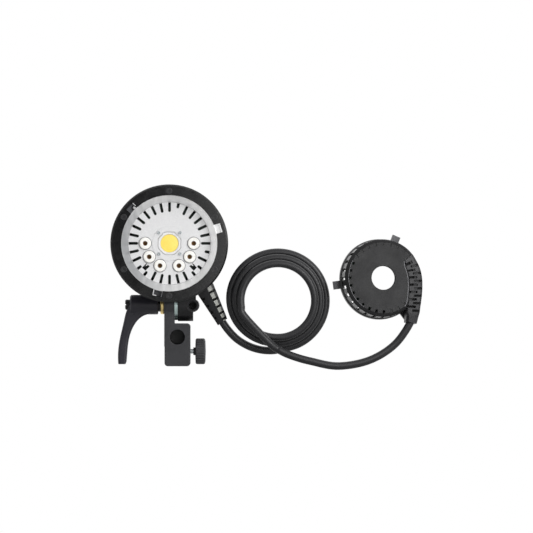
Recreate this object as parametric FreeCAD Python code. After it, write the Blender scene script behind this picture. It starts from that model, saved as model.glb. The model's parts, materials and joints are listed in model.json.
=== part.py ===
"""Remote flash head for a studio strobe: lamp head, tilt bracket, power cable and bayonet plug.

Millimetres. +Z is up. The origin is the centre of the mount ring's front face. The lamp axis is Y
and the lamp faces -Y. Angles on the lamp face are counted from +X towards +Z.
"""
import FreeCAD
import Part
import math
import os

os.makedirs("parts", exist_ok=True)
V = FreeCAD.Vector

# ---------------------------------------------------------------- driving dimensions
GAP = 0.05               # radial play between pieces that move on each other
FIT = 0.02               # play between pieces that sit in each other

RING_R = 62.5            # mount ring
RING_BORE_R = 51.0
RING_LIP_T = 4.0         # front lip that an accessory's lugs lock behind
RING_T = 9.0
LUG_SLOT_R = 57.9
LUG_SLOT_W = 10.6
GUIDE_SLOT, LOCK_SLOT, LEAF_SLOT = 16.8, 136.8, 256.8
SLOT_FLOOR_Y = 7.4       # leaves a lug 3.4 mm behind the lip
RING_SCREW_R = 55.6
RING_SCREW_HEAD_R = 3.2
RING_SCREW_SHANK_R = 1.6
RING_SCREW_ANGLES = [30.0 + 60.0 * k for k in range(6)]

FLANGE_R = 60.0          # head barrel
FLANGE_BACK_Y = 15.0
BARREL_R = 48.0
BARREL_WALL = 1.8
BARREL_BACK_Y = 116.0
COVER_BACK_Y = 131.0
COVER_SCREW_R = 41.8
COVER_SCREW_ANGLES = (0, 90, 180, 270)
COVER_SCREW_SHANK_R, COVER_SCREW_HEAD_R = 1.5, 3.0
COVER_POST_R = 3.4
BARREL_VENT_COUNT = 24
BARREL_VENT_Y0, BARREL_VENT_Y1 = 70.0, 86.0

PLATE_Y = 16.0           # lamp base plate, front face
PLATE_T = 2.5
PLATE_R = 43.9
VENT_COUNT = 28
VENT_OUT_R = 43.5
VENT_IN_R = 33.4
VENT_SHORT_IN_R = 38.2
VENT_W = 2.9
VENT_SHORT = (10, 11, 17, 18, 20, 27)  # slots that a socket or a clip leaves little room for
CLIP_R = 35.5
CLIP_ANGLES = (-45.0, -135.0)

SOCKET_R = 25.8          # six flash-tube sockets
SOCKET_ANGLES = (180.0, 213.6, 247.0, 293.0, 326.4, 360.0)
SOCKET_OUT_R = 6.35
SOCKET_Y = 13.5
SOCKET_MOUTH_R = 2.5
CONTACT_OUT_R = 3.2
CONTACT_BORE_R = 2.1
BOARD_Y = 27.0           # wiring board behind them
BOARD_T = 1.6
CONTACT_TAIL_R = 1.2
COIL_Z_ON_BOARD = 33.0

LED_R = 9.45             # modelling lamp
LED_OPENING = 12.4       # centre to flat of its eight-sided opening
LED_SCREW_R = 15.9
LED_SCREW_ANGLES = (45, 135, 225, 315)
LED_SCREW_SHANK_R = 1.0
LED_RIM_R = 18.4                       # the raised round seat about it
SINK_CORE_R = 15.0
SINK_R = 22.0
SINK_BACK_Y = 62.0

LOCK_ANGLE = 134.6       # accessory lock: rod, slide and spring
LOCK_R = 53.2
LOCK_ROD_R = 1.6
SLIDER_Y0, SLIDER_Y1, LOCK_SPRING_Y1 = 17.5, 32.0, 44.0

FAN_Y0, FAN_Y1 = 88.0, 103.0
FAN_HALF = 30.0
FAN_SCREW_HALF = 25.0
FAN_SCREW_SHANK_R = 1.3
FAN_OPENING_R = 28.4
FAN_BLADE_R = 27.6
FAN_HUB_R = 12.4
FAN_POST_R = 1.5

TILT_Y, TILT_Z = 50.0, -65.4           # tilt axis, along X
STUD_R = 4.0
STUD_HOLE_R = STUD_R + 0.3
LUG_X0, LUG_X1 = 8.5, 24.7             # tilt lug under the barrel
LUG_R = 17.6
NUT_X0, NUT_X1 = 8.6, 15.0
NUT_HALF = 6.5                         # centre to flat
LUG_SCREW_X = 16.6
LUG_SCREW_PLACES = (TILT_Y - 11, TILT_Y + 11)
LUG_SCREW_SHANK_R = 2.0
UMBRELLA_X, UMBRELLA_Z = 24.4, -66.2
UMBRELLA_BORE_R = 4.25
UMBRELLA_LINER_R = 5.25
UMBRELLA_OUT_R = 7.0
UMBRELLA_HALF = 18.0
UMBRELLA_END_Y = TILT_Y + UMBRELLA_HALF - 3.0   # the shaft stops against a closed end

ARM_X0, ARM_X1 = -6.0, 5.0             # stand bracket
ARM_R = 15.5
BLOCK_X0, BLOCK_X1 = -5.7, 21.8
BLOCK_TOP_Z, BLOCK_BOTTOM_Z = -85.4, -131.0
BLOCK_HALF_Y = 13.5
BLOCK_X = (BLOCK_X0 + BLOCK_X1) / 2
RECEIVER_R = 8.05                      # for a 16 mm stand spigot
CROSS_BORE_Z = -99.9
CROSS_BORE_END_Y = 60.0                # a blind bore from the front
THUMB_Z = -115.2
THUMB_SCREW_R = 2.5
KNOB_X0, KNOB_X1 = 27.3, 38.3
KNOB_R = 13.8
PAD_R = 3.4                            # brass pad at the thumb screw's end
PAD_CUP_R = 1.4
PAD_X0 = BLOCK_X + RECEIVER_R + 0.2

HUB_X0, HUB_X1 = -42.8, -12.7          # clamp lever
HUB_R = 10.5
COLLAR_X0 = -10.3                      # brass collar between the lever's boss and the arm
LEVER_BORE_R = 5.6
INSERT_R = 7.5
BUTTON_SHANK_R, BUTTON_HEAD_R = 2.4, 5.5
SHOULDER_X = -34.0                     # the lever's spring rests here

CABLE_R = 4.1                          # cable and coil
CABLE_PLAY = 0.2
COIL_X, COIL_Z = 115.1, -60.7
COIL_R = 51.3
COIL_STEP_R = 6.0                      # each loop is this much smaller
COIL_STEP_Y = 8.5                      # and this much nearer the front
LEAD_R = 62.6                          # first reach of the cable, out from the coil's centre
LEAD_ANGLE = 204.4
LEAD_SPAN = 75.0                       # it comes in to the first loop over this many degrees
COIL_TURNS = 3.0
ENTRY = V(31.5, 27.0, -36.2)           # where the cable leaves the barrel
BOOT_LEAN = 62.4                       # boot axis below +X, degrees
BOOT_LENGTH = 53.9
BOOT_R, BOOT_TIP_R = 10.1, 6.25
BOOT_NECK_R = 7.0
RIB_PITCH = 7.6                        # spacing of the slots that let a boot bend
RIB_SLOT = 2.4
FLEX = V(150.0, -1.0, -125.0)          # the tail swings about this point
FLEX_ALONG = V(0.972, 0.01, -0.233)    # the cable's direction there
FLEX_GAP = CABLE_R + 0.3

PLUG = V(224.4, 6.0, -37.6)            # bayonet plug
PLUG_YAW, PLUG_PITCH = 11.5, 4.5
PLUG_R, PLUG_FRONT_R = 42.7, 41.2
PLUG_COVER_R = 40.0
PLUG_HALF_T = 12.5
PLUG_WALL = 1.8
PLUG_HOLE_R = 12.6
PLUG_VENT_IN_R = 35.0
PLUG_TUBE_R = 19.2
PLUG_LUG_IN_R, PLUG_LUG_R = 40.6, 50.1
PLUG_LUG_W = 8.6
PLUG_LUG_ANGLES = (66.5, 187.5, 307.0)
PLUG_PIN_R, PLUG_PIN_ROOT_R = 2.0, 2.6
PLUG_PIN_LENGTH = 8.0
PLUG_BOOT_Y0, PLUG_BOOT_Y1 = -13.0, 2.5
PLUG_BOOT_MID_Y = (PLUG_BOOT_Y0 + PLUG_BOOT_Y1) / 2


# ---------------------------------------------------------------- helpers
def cyl_y(radius, y0, y1, x=0.0, z=0.0):
    return Part.makeCylinder(radius, y1 - y0, V(x, y0, z), V(0, 1, 0))


def cyl_x(radius, x0, x1, y=TILT_Y, z=TILT_Z):
    return Part.makeCylinder(radius, x1 - x0, V(x0, y, z), V(1, 0, 0))


def tube_y(inner, outer, y0, y1, x=0.0, z=0.0):
    return cyl_y(outer, y0, y1, x, z).cut(cyl_y(inner, y0 - 1, y1 + 1, x, z))


def tube_x(inner, outer, x0, x1, y=TILT_Y, z=TILT_Z):
    return cyl_x(outer, x0, x1, y, z).cut(cyl_x(inner, x0 - 1, x1 + 1, y, z))


def box(x0, x1, y0, y1, z0, z1):
    return Part.makeBox(x1 - x0, y1 - y0, z1 - z0, V(x0, y0, z0))


def turned_y(profile):
    """A solid of revolution about Y from (radius, y) corners."""
    points = [V(r, y, 0) for r, y in profile]
    face = Part.Face(Part.makePolygon(points + points[:1]))
    return face.revolve(V(0, 0, 0), V(0, 1, 0), 360)


def turned_x(profile, y=TILT_Y, z=TILT_Z):
    """A solid of revolution about the line through (y, z) along X, from (x, radius) corners."""
    points = [V(x, y, z + r) for x, r in profile]
    face = Part.Face(Part.makePolygon(points + points[:1]))
    return face.revolve(V(0, y, z), V(1, 0, 0), 360)


def polygon_y(radius, sides, y0, y1, x=0.0, z=0.0, start=0.0):
    """A prism along Y whose corners lie on a circle."""
    corners = [polar(radius, start + 360 * k / sides) for k in range(sides + 1)]
    face = Part.Face(Part.makePolygon([V(x + a, y0, z + b) for a, b in corners]))
    return face.extrude(V(0, y1 - y0, 0))


def spin(shape, angle):
    """The shape turned about the lamp axis, from +X towards +Z."""
    return shape.rotated(V(0, 0, 0), V(0, -1, 0), angle)


def polar(radius, angle):
    a = math.radians(angle)
    return radius * math.cos(a), radius * math.sin(a)


def radial_box(r0, r1, width, y0, y1, angle):
    return spin(box(r0, r1, y0, y1, -width / 2, width / 2), angle)


def join(*shapes):
    return shapes[0].multiFuse(list(shapes[1:])).removeSplitter()


def coil_spring(radius, wire_r, length, turns):
    """A spring that stands on the origin along +Z."""
    helix = Part.makeHelix(length / turns, length, radius)
    ring = Part.Wire(Part.makeCircle(wire_r, V(radius, 0, 0), V(0, 1, 0)))
    return Part.Wire(helix.Edges).makePipeShell([ring], True, True)


def screw_y(head_r, shank_r, y0, length, x, z, sunk):
    """A screw driven towards +Y, with a six-sided socket in a sunk or a round head."""
    head_t = head_r - shank_r if sunk else head_r * 0.7
    if sunk:
        head = Part.makeCone(head_r, shank_r, head_t, V(x, y0, z), V(0, 1, 0))
    else:
        head = cyl_y(head_r, y0, y0 + head_t, x, z)
    shank = cyl_y(shank_r, y0 + head_t / 2, y0 + length, x, z)
    return join(head, shank).cut(polygon_y(head_r * 0.5, 6, y0 - 1, y0 + head_t * 0.6, x, z))


def save(name, *shapes):
    """Writes one node. Several shapes stay separate solids of the same node."""
    solids = [solid for shape in shapes for solid in shape.Solids]
    whole = solids[0] if len(solids) == 1 else Part.makeCompound(solids)
    whole.exportStep("parts/" + name + ".step")


# ---------------------------------------------------------------- head: mount ring
def mount_ring():
    lip = turned_y([(RING_BORE_R, 0), (RING_R - 1.6, 0), (RING_R, 1.6),
                    (RING_R, RING_LIP_T), (RING_BORE_R, RING_LIP_T)])
    ring = [lip, tube_y(LUG_SLOT_R + 0.4, RING_R, RING_LIP_T, RING_T)]
    holes = [radial_box(RING_BORE_R - 3, LUG_SLOT_R, LUG_SLOT_W, -1, RING_LIP_T + 1, a)
             for a in (GUIDE_SLOT, LOCK_SLOT, LEAF_SLOT)]
    for a in RING_SCREW_ANGLES:
        x, z = polar(RING_SCREW_R, a)
        ring.append(cyl_y(RING_SCREW_HEAD_R, RING_LIP_T - 0.5, RING_T, x, z))
        sink_t = RING_SCREW_HEAD_R - RING_SCREW_SHANK_R
        holes.append(Part.makeCone(RING_SCREW_HEAD_R + FIT, RING_SCREW_SHANK_R + FIT, sink_t,
                                   V(x, 0, z), V(0, 1, 0)))
        holes.append(cyl_y(RING_SCREW_SHANK_R + FIT, 0.5, RING_T + 1, x, z))
    return join(*ring).cut(holes)


def ring_screws():
    return [screw_y(RING_SCREW_HEAD_R, RING_SCREW_SHANK_R, 0, 14.0, *polar(RING_SCREW_R, a), True)
            for a in RING_SCREW_ANGLES]


def slot_floor(angle):
    """The plate at the bottom of a lug slot."""
    return radial_box(RING_BORE_R + 0.1, LUG_SLOT_R - 0.4, LUG_SLOT_W - 0.6, SLOT_FLOOR_Y, RING_T, angle)


def slot_strip(r0, r1, y0, t0, t1, angle):
    """A strip that stands on a slot's floor, from t0 to t1 round the ring."""
    return spin(box(r0, r1, y0, SLOT_FLOOR_Y, t0, t1), angle)


def slot_groove(width, t, angle):
    """A shallow groove along the radius in a slot's floor, starting at t round the ring."""
    groove = box(RING_BORE_R + 1.2, LUG_SLOT_R - 1.6, SLOT_FLOOR_Y - 1, SLOT_FLOOR_Y + 0.8, t, t + width)
    return spin(groove, angle)


def slot_guide():
    """The polished floor of the right-hand lug slot, with a raised outer stop."""
    stop = radial_box(LUG_SLOT_R - 1.6, LUG_SLOT_R - 0.4, LUG_SLOT_W - 0.6, 1.2, SLOT_FLOOR_Y + 1, GUIDE_SLOT)
    return join(slot_floor(GUIDE_SLOT), stop)


def lock_plate():
    """The grooved floor under the lock rod, in the upper left lug slot."""
    cheek_t = LUG_SLOT_W / 2 - 0.4
    cheek = slot_strip(LUG_SLOT_R - 4.6, LUG_SLOT_R - 0.4, 0.8, -cheek_t, 0.7 - cheek_t, LOCK_SLOT)
    grooves = [slot_groove(0.8, t, LOCK_SLOT) for t in (0.4, 2.0, 3.6)]
    rod_x, rod_z = polar(LOCK_R, LOCK_ANGLE)
    grooves.append(cyl_y(LOCK_ROD_R + 0.2, 0, 20, rod_x, rod_z))
    return join(slot_floor(LOCK_SLOT), cheek).cut(grooves)


def slot_leaf():
    """A bright bent strip round one corner of the bottom lug slot, which centres a lug."""
    edge_t = LUG_SLOT_W / 2 - 0.3
    side = slot_strip(RING_BORE_R + 0.6, LUG_SLOT_R - 0.4, 0.6, -edge_t, 0.8 - edge_t, LEAF_SLOT)
    end = slot_strip(LUG_SLOT_R - 1.2, LUG_SLOT_R - 0.4, 0.6, -edge_t, 4.2 - edge_t, LEAF_SLOT)
    return join(side, end)


def slot_pad():
    """The dark ribbed floor of the bottom lug slot."""
    return slot_floor(LEAF_SLOT).cut([slot_groove(0.9, t, LEAF_SLOT) for t in (-3.2, -1.4, 0.4, 2.2)])


# ---------------------------------------------------------------- head: lamp base
def reflector_cup():
    """A conical wall from the ring's bore down to the lamp base plate, with a short foot."""
    rim_y, wall, foot_r = RING_LIP_T + 0.5, 0.9, PLATE_R + 0.2
    return turned_y([(RING_BORE_R - 0.4, rim_y), (foot_r, PLATE_Y - 0.6), (foot_r, PLATE_Y + PLATE_T),
                     (foot_r + wall, PLATE_Y + PLATE_T), (foot_r + wall, PLATE_Y - 1.0),
                     (RING_BORE_R + 0.5, rim_y)])


def vent_slot(index):
    """One radial cooling slot: square at the rim, round at its inner end."""
    angle = 90.0 + index * 360.0 / VENT_COUNT
    inner = (VENT_SHORT_IN_R if index in VENT_SHORT else VENT_IN_R) + VENT_W / 2
    bar = radial_box(inner, VENT_OUT_R, VENT_W, PLATE_Y - 1, PLATE_Y + PLATE_T + 1, angle)
    return bar.fuse(cyl_y(VENT_W / 2, PLATE_Y - 1, PLATE_Y + PLATE_T + 1, *polar(inner, angle)))


def clip_window(angle):
    return radial_box(CLIP_R - 3.3, CLIP_R + 3.3, 4.8, PLATE_Y - 1, PLATE_Y + PLATE_T + 1, angle)


def led_screw_holes(y0, y1):
    return [cyl_y(LED_SCREW_SHANK_R + FIT, y0, y1, *polar(LED_SCREW_R, a)) for a in LED_SCREW_ANGLES]


def lamp_base_plate():
    plate = cyl_y(PLATE_R, PLATE_Y, PLATE_Y + PLATE_T)
    plate = join(plate, cyl_y(LED_RIM_R, PLATE_Y - 0.5, PLATE_Y + 0.5))
    opening = polygon_y(LED_OPENING / math.cos(math.pi / 8), 8, PLATE_Y - 2, PLATE_Y + 4, start=22.5)
    holes = [opening]
    for a in SOCKET_ANGLES:
        holes.append(cyl_y(SOCKET_OUT_R + 0.1, PLATE_Y - 2, PLATE_Y + 4, *polar(SOCKET_R, a)))
    holes += led_screw_holes(PLATE_Y - 2, PLATE_Y + 4)
    holes += [vent_slot(k) for k in range(VENT_COUNT)]
    holes += [clip_window(a) for a in CLIP_ANGLES]
    return plate.cut(holes)


def plate_clips():
    """Spring clips that stand in the plate's windows and hook behind it."""
    back = PLATE_Y + PLATE_T
    for a in CLIP_ANGLES:
        post = radial_box(CLIP_R + 1.0, CLIP_R + 3.2, 3.6, PLATE_Y + 0.4, back + 6, a)
        hook = radial_box(CLIP_R + 1.0, CLIP_R + 5.6, 3.6, back + FIT, back + 1.4, a)
        tongue = radial_box(CLIP_R - 1.2, CLIP_R + 2.0, 1.6, PLATE_Y + 1.4, PLATE_Y + 2.4, a)
        yield join(post, hook, tongue)


def tube_sockets():
    """Six white ceramic sockets that stand a little proud of the plate."""
    for a in SOCKET_ANGLES:
        x, z = polar(SOCKET_R, a)
        body = cyl_y(SOCKET_OUT_R, SOCKET_Y + 0.8, BOARD_Y, x, z)
        nose = Part.makeCone(SOCKET_OUT_R - 0.8, SOCKET_OUT_R, 0.8, V(x, SOCKET_Y, z), V(0, 1, 0))
        mouth = cyl_y(SOCKET_MOUTH_R, SOCKET_Y - 1, BOARD_Y, x, z)
        seat = cyl_y(CONTACT_OUT_R + FIT, SOCKET_Y + 2.0, BOARD_Y + 1, x, z)
        yield join(body, nose).cut([mouth, seat])


def socket_contacts():
    """Split brass sleeves that take the flash tube's pins, each with a tail through the board."""
    for a in SOCKET_ANGLES:
        x, z = polar(SOCKET_R, a)
        sleeve = cyl_y(CONTACT_OUT_R, SOCKET_Y + 2.0 + FIT, BOARD_Y, x, z)
        tail = cyl_y(CONTACT_TAIL_R, BOARD_Y - 1, BOARD_Y + BOARD_T + 2, x, z)
        bore = cyl_y(CONTACT_BORE_R, SOCKET_Y, BOARD_Y - 2.5, x, z)
        split = box(x - 0.3, x + 0.3, SOCKET_Y, BOARD_Y - 6, z - 5, z)
        yield join(sleeve, tail).cut([bore, split])


def wiring_board():
    board = cyl_y(41.0, BOARD_Y, BOARD_Y + BOARD_T)
    holes = [cyl_y(SINK_CORE_R + 0.5, BOARD_Y - 1, BOARD_Y + 3)]
    for a in SOCKET_ANGLES:
        holes.append(cyl_y(CONTACT_TAIL_R + FIT, BOARD_Y - 1, BOARD_Y + 3, *polar(SOCKET_R, a)))
    cable_gap = cyl_y(9.5, BOARD_Y - 1, BOARD_Y + 3, ENTRY.x + 1, ENTRY.z - 1.3)
    return board.cut(holes + [cable_gap])


def trigger_coil():
    """The ignition transformer, standing on the back of the board."""
    y0 = BOARD_Y + BOARD_T
    cheek_r, core_r, cheek_t, length = 8.0, 5.0, 2.0, 22.0
    y1 = y0 + length
    z = COIL_Z_ON_BOARD
    bobbin = join(cyl_y(cheek_r, y0, y0 + cheek_t, 0, z), cyl_y(core_r, y0, y1, 0, z),
                  cyl_y(cheek_r, y1 - cheek_t, y1, 0, z))
    winding = tube_y(core_r + FIT, cheek_r - 0.6, y0 + cheek_t + FIT, y1 - cheek_t - FIT, 0, z)
    return bobbin, winding


def led_parts():
    """Modelling lamp: emitter under a low silicone dome, and its round substrate."""
    back = PLATE_Y + PLATE_T
    board = cyl_y(LED_RIM_R, back + FIT, back + 1.7)
    dome_r = 60.0
    lens = Part.makeSphere(dome_r, V(0, back - 1.6 + dome_r, 0))
    emitter = cyl_y(LED_R, back - 2.0, back).common(lens)
    return board.cut(led_screw_holes(back - 1, back + 3)), emitter


def led_screws():
    """Small screws through the plate and the substrate into the heat sink."""
    return [screw_y(1.7, LED_SCREW_SHANK_R, PLATE_Y - 1.7, 9.0, *polar(LED_SCREW_R, a), False)
            for a in LED_SCREW_ANGLES]


def led_heat_sink():
    """A face plate and core with a crown of radial fins behind the board."""
    face_y = PLATE_Y + PLATE_T + 1.7
    web_y = BOARD_Y + 7
    pieces = [cyl_y(LED_RIM_R, face_y, face_y + 4), cyl_y(SINK_CORE_R, face_y, SINK_BACK_Y),
              cyl_y(SINK_R, web_y, web_y + 2.5)]
    pieces += [radial_box(SINK_CORE_R - 1, SINK_R, 1.4, web_y + 2, SINK_BACK_Y, k * 20) for k in range(18)]
    return join(*pieces).cut(led_screw_holes(face_y - 1, face_y + 5))


# ---------------------------------------------------------------- head: casing
def boot_direction():
    a = math.radians(BOOT_LEAN)
    return V(math.cos(a), 0, -math.sin(a))


def along_boot(distance):
    return ENTRY + boot_direction() * distance


def head_barrel():
    inner = BARREL_R - BARREL_WALL
    ledge = PLATE_Y + PLATE_T
    shell = turned_y([(RING_BORE_R + 0.9, RING_T), (FLANGE_R, RING_T), (FLANGE_R, FLANGE_BACK_Y - 1),
                      (FLANGE_R - 1, FLANGE_BACK_Y), (BARREL_R + 1.5, FLANGE_BACK_Y),
                      (BARREL_R, FLANGE_BACK_Y + 1.5), (BARREL_R, BARREL_BACK_Y), (inner, BARREL_BACK_Y),
                      (inner, ledge + 3), (PLATE_R - 0.4, ledge + 1.5), (PLATE_R - 0.4, ledge),
                      (PLATE_R + 1.4, ledge), (PLATE_R + 1.4, PLATE_Y)])
    solids = [shell]
    holes = []
    post_y = BARREL_BACK_Y - 20
    for a in COVER_SCREW_ANGLES:
        x, z = polar(COVER_SCREW_R, a)
        post = cyl_y(COVER_POST_R, post_y, BARREL_BACK_Y, x, z)
        web = radial_box(COVER_SCREW_R, inner + 0.5, 4.0, post_y, BARREL_BACK_Y, a)
        solids += [post, web]
        holes.append(cyl_y(COVER_SCREW_SHANK_R + FIT, post_y + 4, BARREL_BACK_Y + 1, x, z))
    rail = radial_box(BARREL_R - 1, BARREL_R + 6.5, 7.0, LOCK_SPRING_Y1, LOCK_SPRING_Y1 + 3.5, LOCK_ANGLE)
    solids.append(rail)
    holes.append(cyl_y(LOCK_ROD_R + GAP, 0, 40, *polar(LOCK_R, LOCK_ANGLE)))
    holes += [cyl_y(RING_SCREW_SHANK_R + FIT, 5, 20, *polar(RING_SCREW_R, a)) for a in RING_SCREW_ANGLES]
    holes.append(Part.makeCylinder(BOOT_NECK_R + FIT, 20, along_boot(-10), boot_direction()))
    for k in range(BARREL_VENT_COUNT):
        angle = 360 * k / BARREL_VENT_COUNT
        if abs(angle - 270) > 20:              # none over the tilt lug
            holes.append(radial_box(inner - 2, BARREL_R + 2, 3.0, BARREL_VENT_Y0, BARREL_VENT_Y1, angle))
    for y in LUG_SCREW_PLACES:
        holes.append(Part.makeCylinder(LUG_SCREW_SHANK_R + FIT, 20, V(LUG_SCREW_X, y, -55), V(0, 0, 1)))
    return join(*solids).cut(holes)


def cover_screws():
    sink_t = COVER_SCREW_HEAD_R - COVER_SCREW_SHANK_R
    for a in COVER_SCREW_ANGLES:
        x, z = polar(COVER_SCREW_R, a)
        head = Part.makeCone(COVER_SCREW_SHANK_R, COVER_SCREW_HEAD_R, sink_t, V(x, COVER_BACK_Y - sink_t, z),
                             V(0, 1, 0))
        shank = cyl_y(COVER_SCREW_SHANK_R, BARREL_BACK_Y - 12, COVER_BACK_Y - 1, x, z)
        socket = polygon_y(1.4, 6, COVER_BACK_Y - 1.2, COVER_BACK_Y + 1, x, z)
        yield join(head, shank).cut(socket)


def fan_screw_places():
    return [polar(FAN_SCREW_HALF * math.sqrt(2), 45 + 90 * k) for k in range(4)]


def rear_cover():
    """A shallow cap with a fan grille of curved slots, posts for the fan and four sunk screws."""
    wall = 2.2
    sink_t = COVER_SCREW_HEAD_R - COVER_SCREW_SHANK_R
    cap = turned_y([(0, COVER_BACK_Y), (0, COVER_BACK_Y - wall), (BARREL_R - wall - 3, COVER_BACK_Y - wall),
                    (BARREL_R - wall, COVER_BACK_Y - wall - 3), (BARREL_R - wall, BARREL_BACK_Y),
                    (BARREL_R, BARREL_BACK_Y), (BARREL_R, COVER_BACK_Y - 4), (BARREL_R - 4, COVER_BACK_Y)])
    solids = [cap]
    holes = []
    for x, z in fan_screw_places():
        solids.append(cyl_y(3.6, FAN_Y1, COVER_BACK_Y - 1, x, z))
        holes.append(cyl_y(FAN_SCREW_SHANK_R + FIT, FAN_Y1 - 1, FAN_Y1 + 14, x, z))
    for a in COVER_SCREW_ANGLES:
        x, z = polar(COVER_SCREW_R, a)
        solids.append(cyl_y(COVER_POST_R, BARREL_BACK_Y, COVER_BACK_Y - 1, x, z))
        holes.append(Part.makeCone(COVER_SCREW_SHANK_R + FIT, COVER_SCREW_HEAD_R + FIT, sink_t,
                                   V(x, COVER_BACK_Y - sink_t, z), V(0, 1, 0)))
        holes.append(cyl_y(COVER_SCREW_SHANK_R + FIT, BARREL_BACK_Y - 1, COVER_BACK_Y, x, z))
    for ring in range(4):
        mid = 10.0 + 6.0 * ring
        band = tube_y(mid - 1.7, mid + 1.7, COVER_BACK_Y - 4, COVER_BACK_Y + 1)
        ribs = [radial_box(0, 40, 3.2, COVER_BACK_Y - 5, COVER_BACK_Y + 2, 22.5 + 45 * k) for k in range(8)]
        holes.append(band.cut(ribs))
    return join(*solids).cut(holes)


# ---------------------------------------------------------------- head: fan
def fan_frame():
    """A square axial fan frame. Three struts carry the bearing post."""
    frame = box(-FAN_HALF, FAN_HALF, FAN_Y0, FAN_Y1, -FAN_HALF, FAN_HALF)
    frame = frame.cut(cyl_y(FAN_OPENING_R, FAN_Y0 - 1, FAN_Y1 + 1))
    strut_y = FAN_Y1 - 2.5
    struts = [radial_box(8, FAN_OPENING_R + 0.6, 3.0, strut_y, FAN_Y1, 90 + 120 * k) for k in range(3)]
    hub = cyl_y(FAN_HUB_R - 0.4, strut_y, FAN_Y1)
    post = cyl_y(FAN_POST_R, FAN_Y0 + 3, FAN_Y1 - 1)
    holes = [cyl_y(FAN_SCREW_SHANK_R + 0.3, FAN_Y0 - 1, FAN_Y1 + 1, x, z) for x, z in fan_screw_places()]
    return join(frame, hub, post, *struts).cut(holes)


def fan_rotor():
    """Hub and seven slanted blades."""
    y0, y1 = FAN_Y0 + 1.0, FAN_Y1 - 3.0
    hub = cyl_y(FAN_HUB_R, y0, y1).cut(cyl_y(FAN_POST_R + GAP, y0 + 1.5, y1 + 1))
    mid_y = (y0 + y1) / 2
    blade = box(FAN_HUB_R - 0.8, FAN_BLADE_R, mid_y - 7.2, mid_y + 7.2, -0.7, 0.7)
    blade = blade.rotated(V(0, mid_y, 0), V(1, 0, 0), 42)
    blades = [spin(blade, 360 * k / 7) for k in range(7)]
    limits = cyl_y(FAN_BLADE_R, y0, y1)
    return join(hub, join(*blades).common(limits))


def fan_screws():
    head_r = 2 * FAN_SCREW_SHANK_R
    for x, z in fan_screw_places():
        yield screw_y(head_r, FAN_SCREW_SHANK_R, FAN_Y0 - head_r * 0.7, 26.0, x, z, False)


# ---------------------------------------------------------------- head: accessory lock
def lock_slider():
    """A ribbed thumb slide behind the flange. Its rod comes through the ring and holds a lug."""
    x, z = polar(LOCK_R, LOCK_ANGLE)
    body = radial_box(BARREL_R + 0.3, LOCK_R + 4.5, 11.0, SLIDER_Y0, SLIDER_Y1, LOCK_ANGLE)
    grooves = [radial_box(LOCK_R + 3.7, LOCK_R + 6, 12, SLIDER_Y0 + 2.5 + 2.6 * k, SLIDER_Y0 + 3.7 + 2.6 * k,
                          LOCK_ANGLE) for k in range(5)]
    pocket = cyl_y(2.9, SLIDER_Y1 - 3, SLIDER_Y1 + 1, x, z)
    rod = cyl_y(LOCK_ROD_R, 1.4, SLIDER_Y0 + 1, x, z)
    nose = Part.makeCone(LOCK_ROD_R - 0.8, LOCK_ROD_R, 0.8, V(x, 0.6, z), V(0, 1, 0))
    bevel = spin(box(LOCK_R + 2.5, LOCK_R + 7, SLIDER_Y1 - 1.5, SLIDER_Y1 + 1, -7, 7), LOCK_ANGLE)
    return join(body.cut(grooves + [pocket, bevel]), rod, nose)


def lock_spring():
    length = LOCK_SPRING_Y1 - SLIDER_Y1 + 3.0 - 1.0
    spring = coil_spring(2.2, 0.35, length, 7)
    spring.rotate(V(0, 0, 0), V(1, 0, 0), -90)
    x, z = polar(LOCK_R, LOCK_ANGLE)
    spring.translate(V(x, SLIDER_Y1 - 3.0 + 0.5, z))
    return spring


# ---------------------------------------------------------------- head: tilt lug
def tilt_lug():
    """Saddle and ear under the barrel, with the umbrella tube boss on its right side."""
    ear = cyl_x(LUG_R, LUG_X0, LUG_X1)
    neck = box(LUG_X0, LUG_X1, TILT_Y - LUG_R, TILT_Y + LUG_R, TILT_Z, -38)
    boss = cyl_y(UMBRELLA_OUT_R, TILT_Y - UMBRELLA_HALF, TILT_Y + UMBRELLA_HALF, UMBRELLA_X, UMBRELLA_Z)
    web = box(LUG_X1 - 1, LUG_X1 + 3, TILT_Y - 12, TILT_Y + 12, UMBRELLA_Z, -52)
    body = join(ear, neck, boss, web)
    tools = [cyl_y(BARREL_R + FIT, 0, 120),
             cyl_y(UMBRELLA_LINER_R + FIT, 0, UMBRELLA_END_Y, UMBRELLA_X, UMBRELLA_Z),
             cyl_x(STUD_HOLE_R, LUG_X0 - 1, NUT_X1 + 1.4),
             nut_prism(NUT_HALF + FIT, LUG_X0 - 1, NUT_X1 + FIT)]
    for y in LUG_SCREW_PLACES:
        tools.append(Part.makeCylinder(LUG_SCREW_SHANK_R + FIT, 24, V(LUG_SCREW_X, y, -60), V(0, 0, 1)))
    return body.cut(tools)


def nut_prism(half, x0, x1):
    """A six-sided prism about the tilt axis, half wide from its centre to a flat."""
    corners = []
    for k in range(7):
        a, b = polar(half / math.cos(math.pi / 6), 60 * k)
        corners.append(V(x0, TILT_Y + a, TILT_Z + b))
    return Part.Face(Part.makePolygon(corners)).extrude(V(x1 - x0, 0, 0))


def clamp_nut():
    return nut_prism(NUT_HALF, NUT_X0, NUT_X1).cut(cyl_x(STUD_R + GAP, 0, 30))


def umbrella_bush():
    """A lighter liner that guides the umbrella shaft."""
    return tube_y(UMBRELLA_BORE_R, UMBRELLA_LINER_R, TILT_Y - UMBRELLA_HALF + 0.4,
                  UMBRELLA_END_Y - 0.1, UMBRELLA_X, UMBRELLA_Z)


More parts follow.
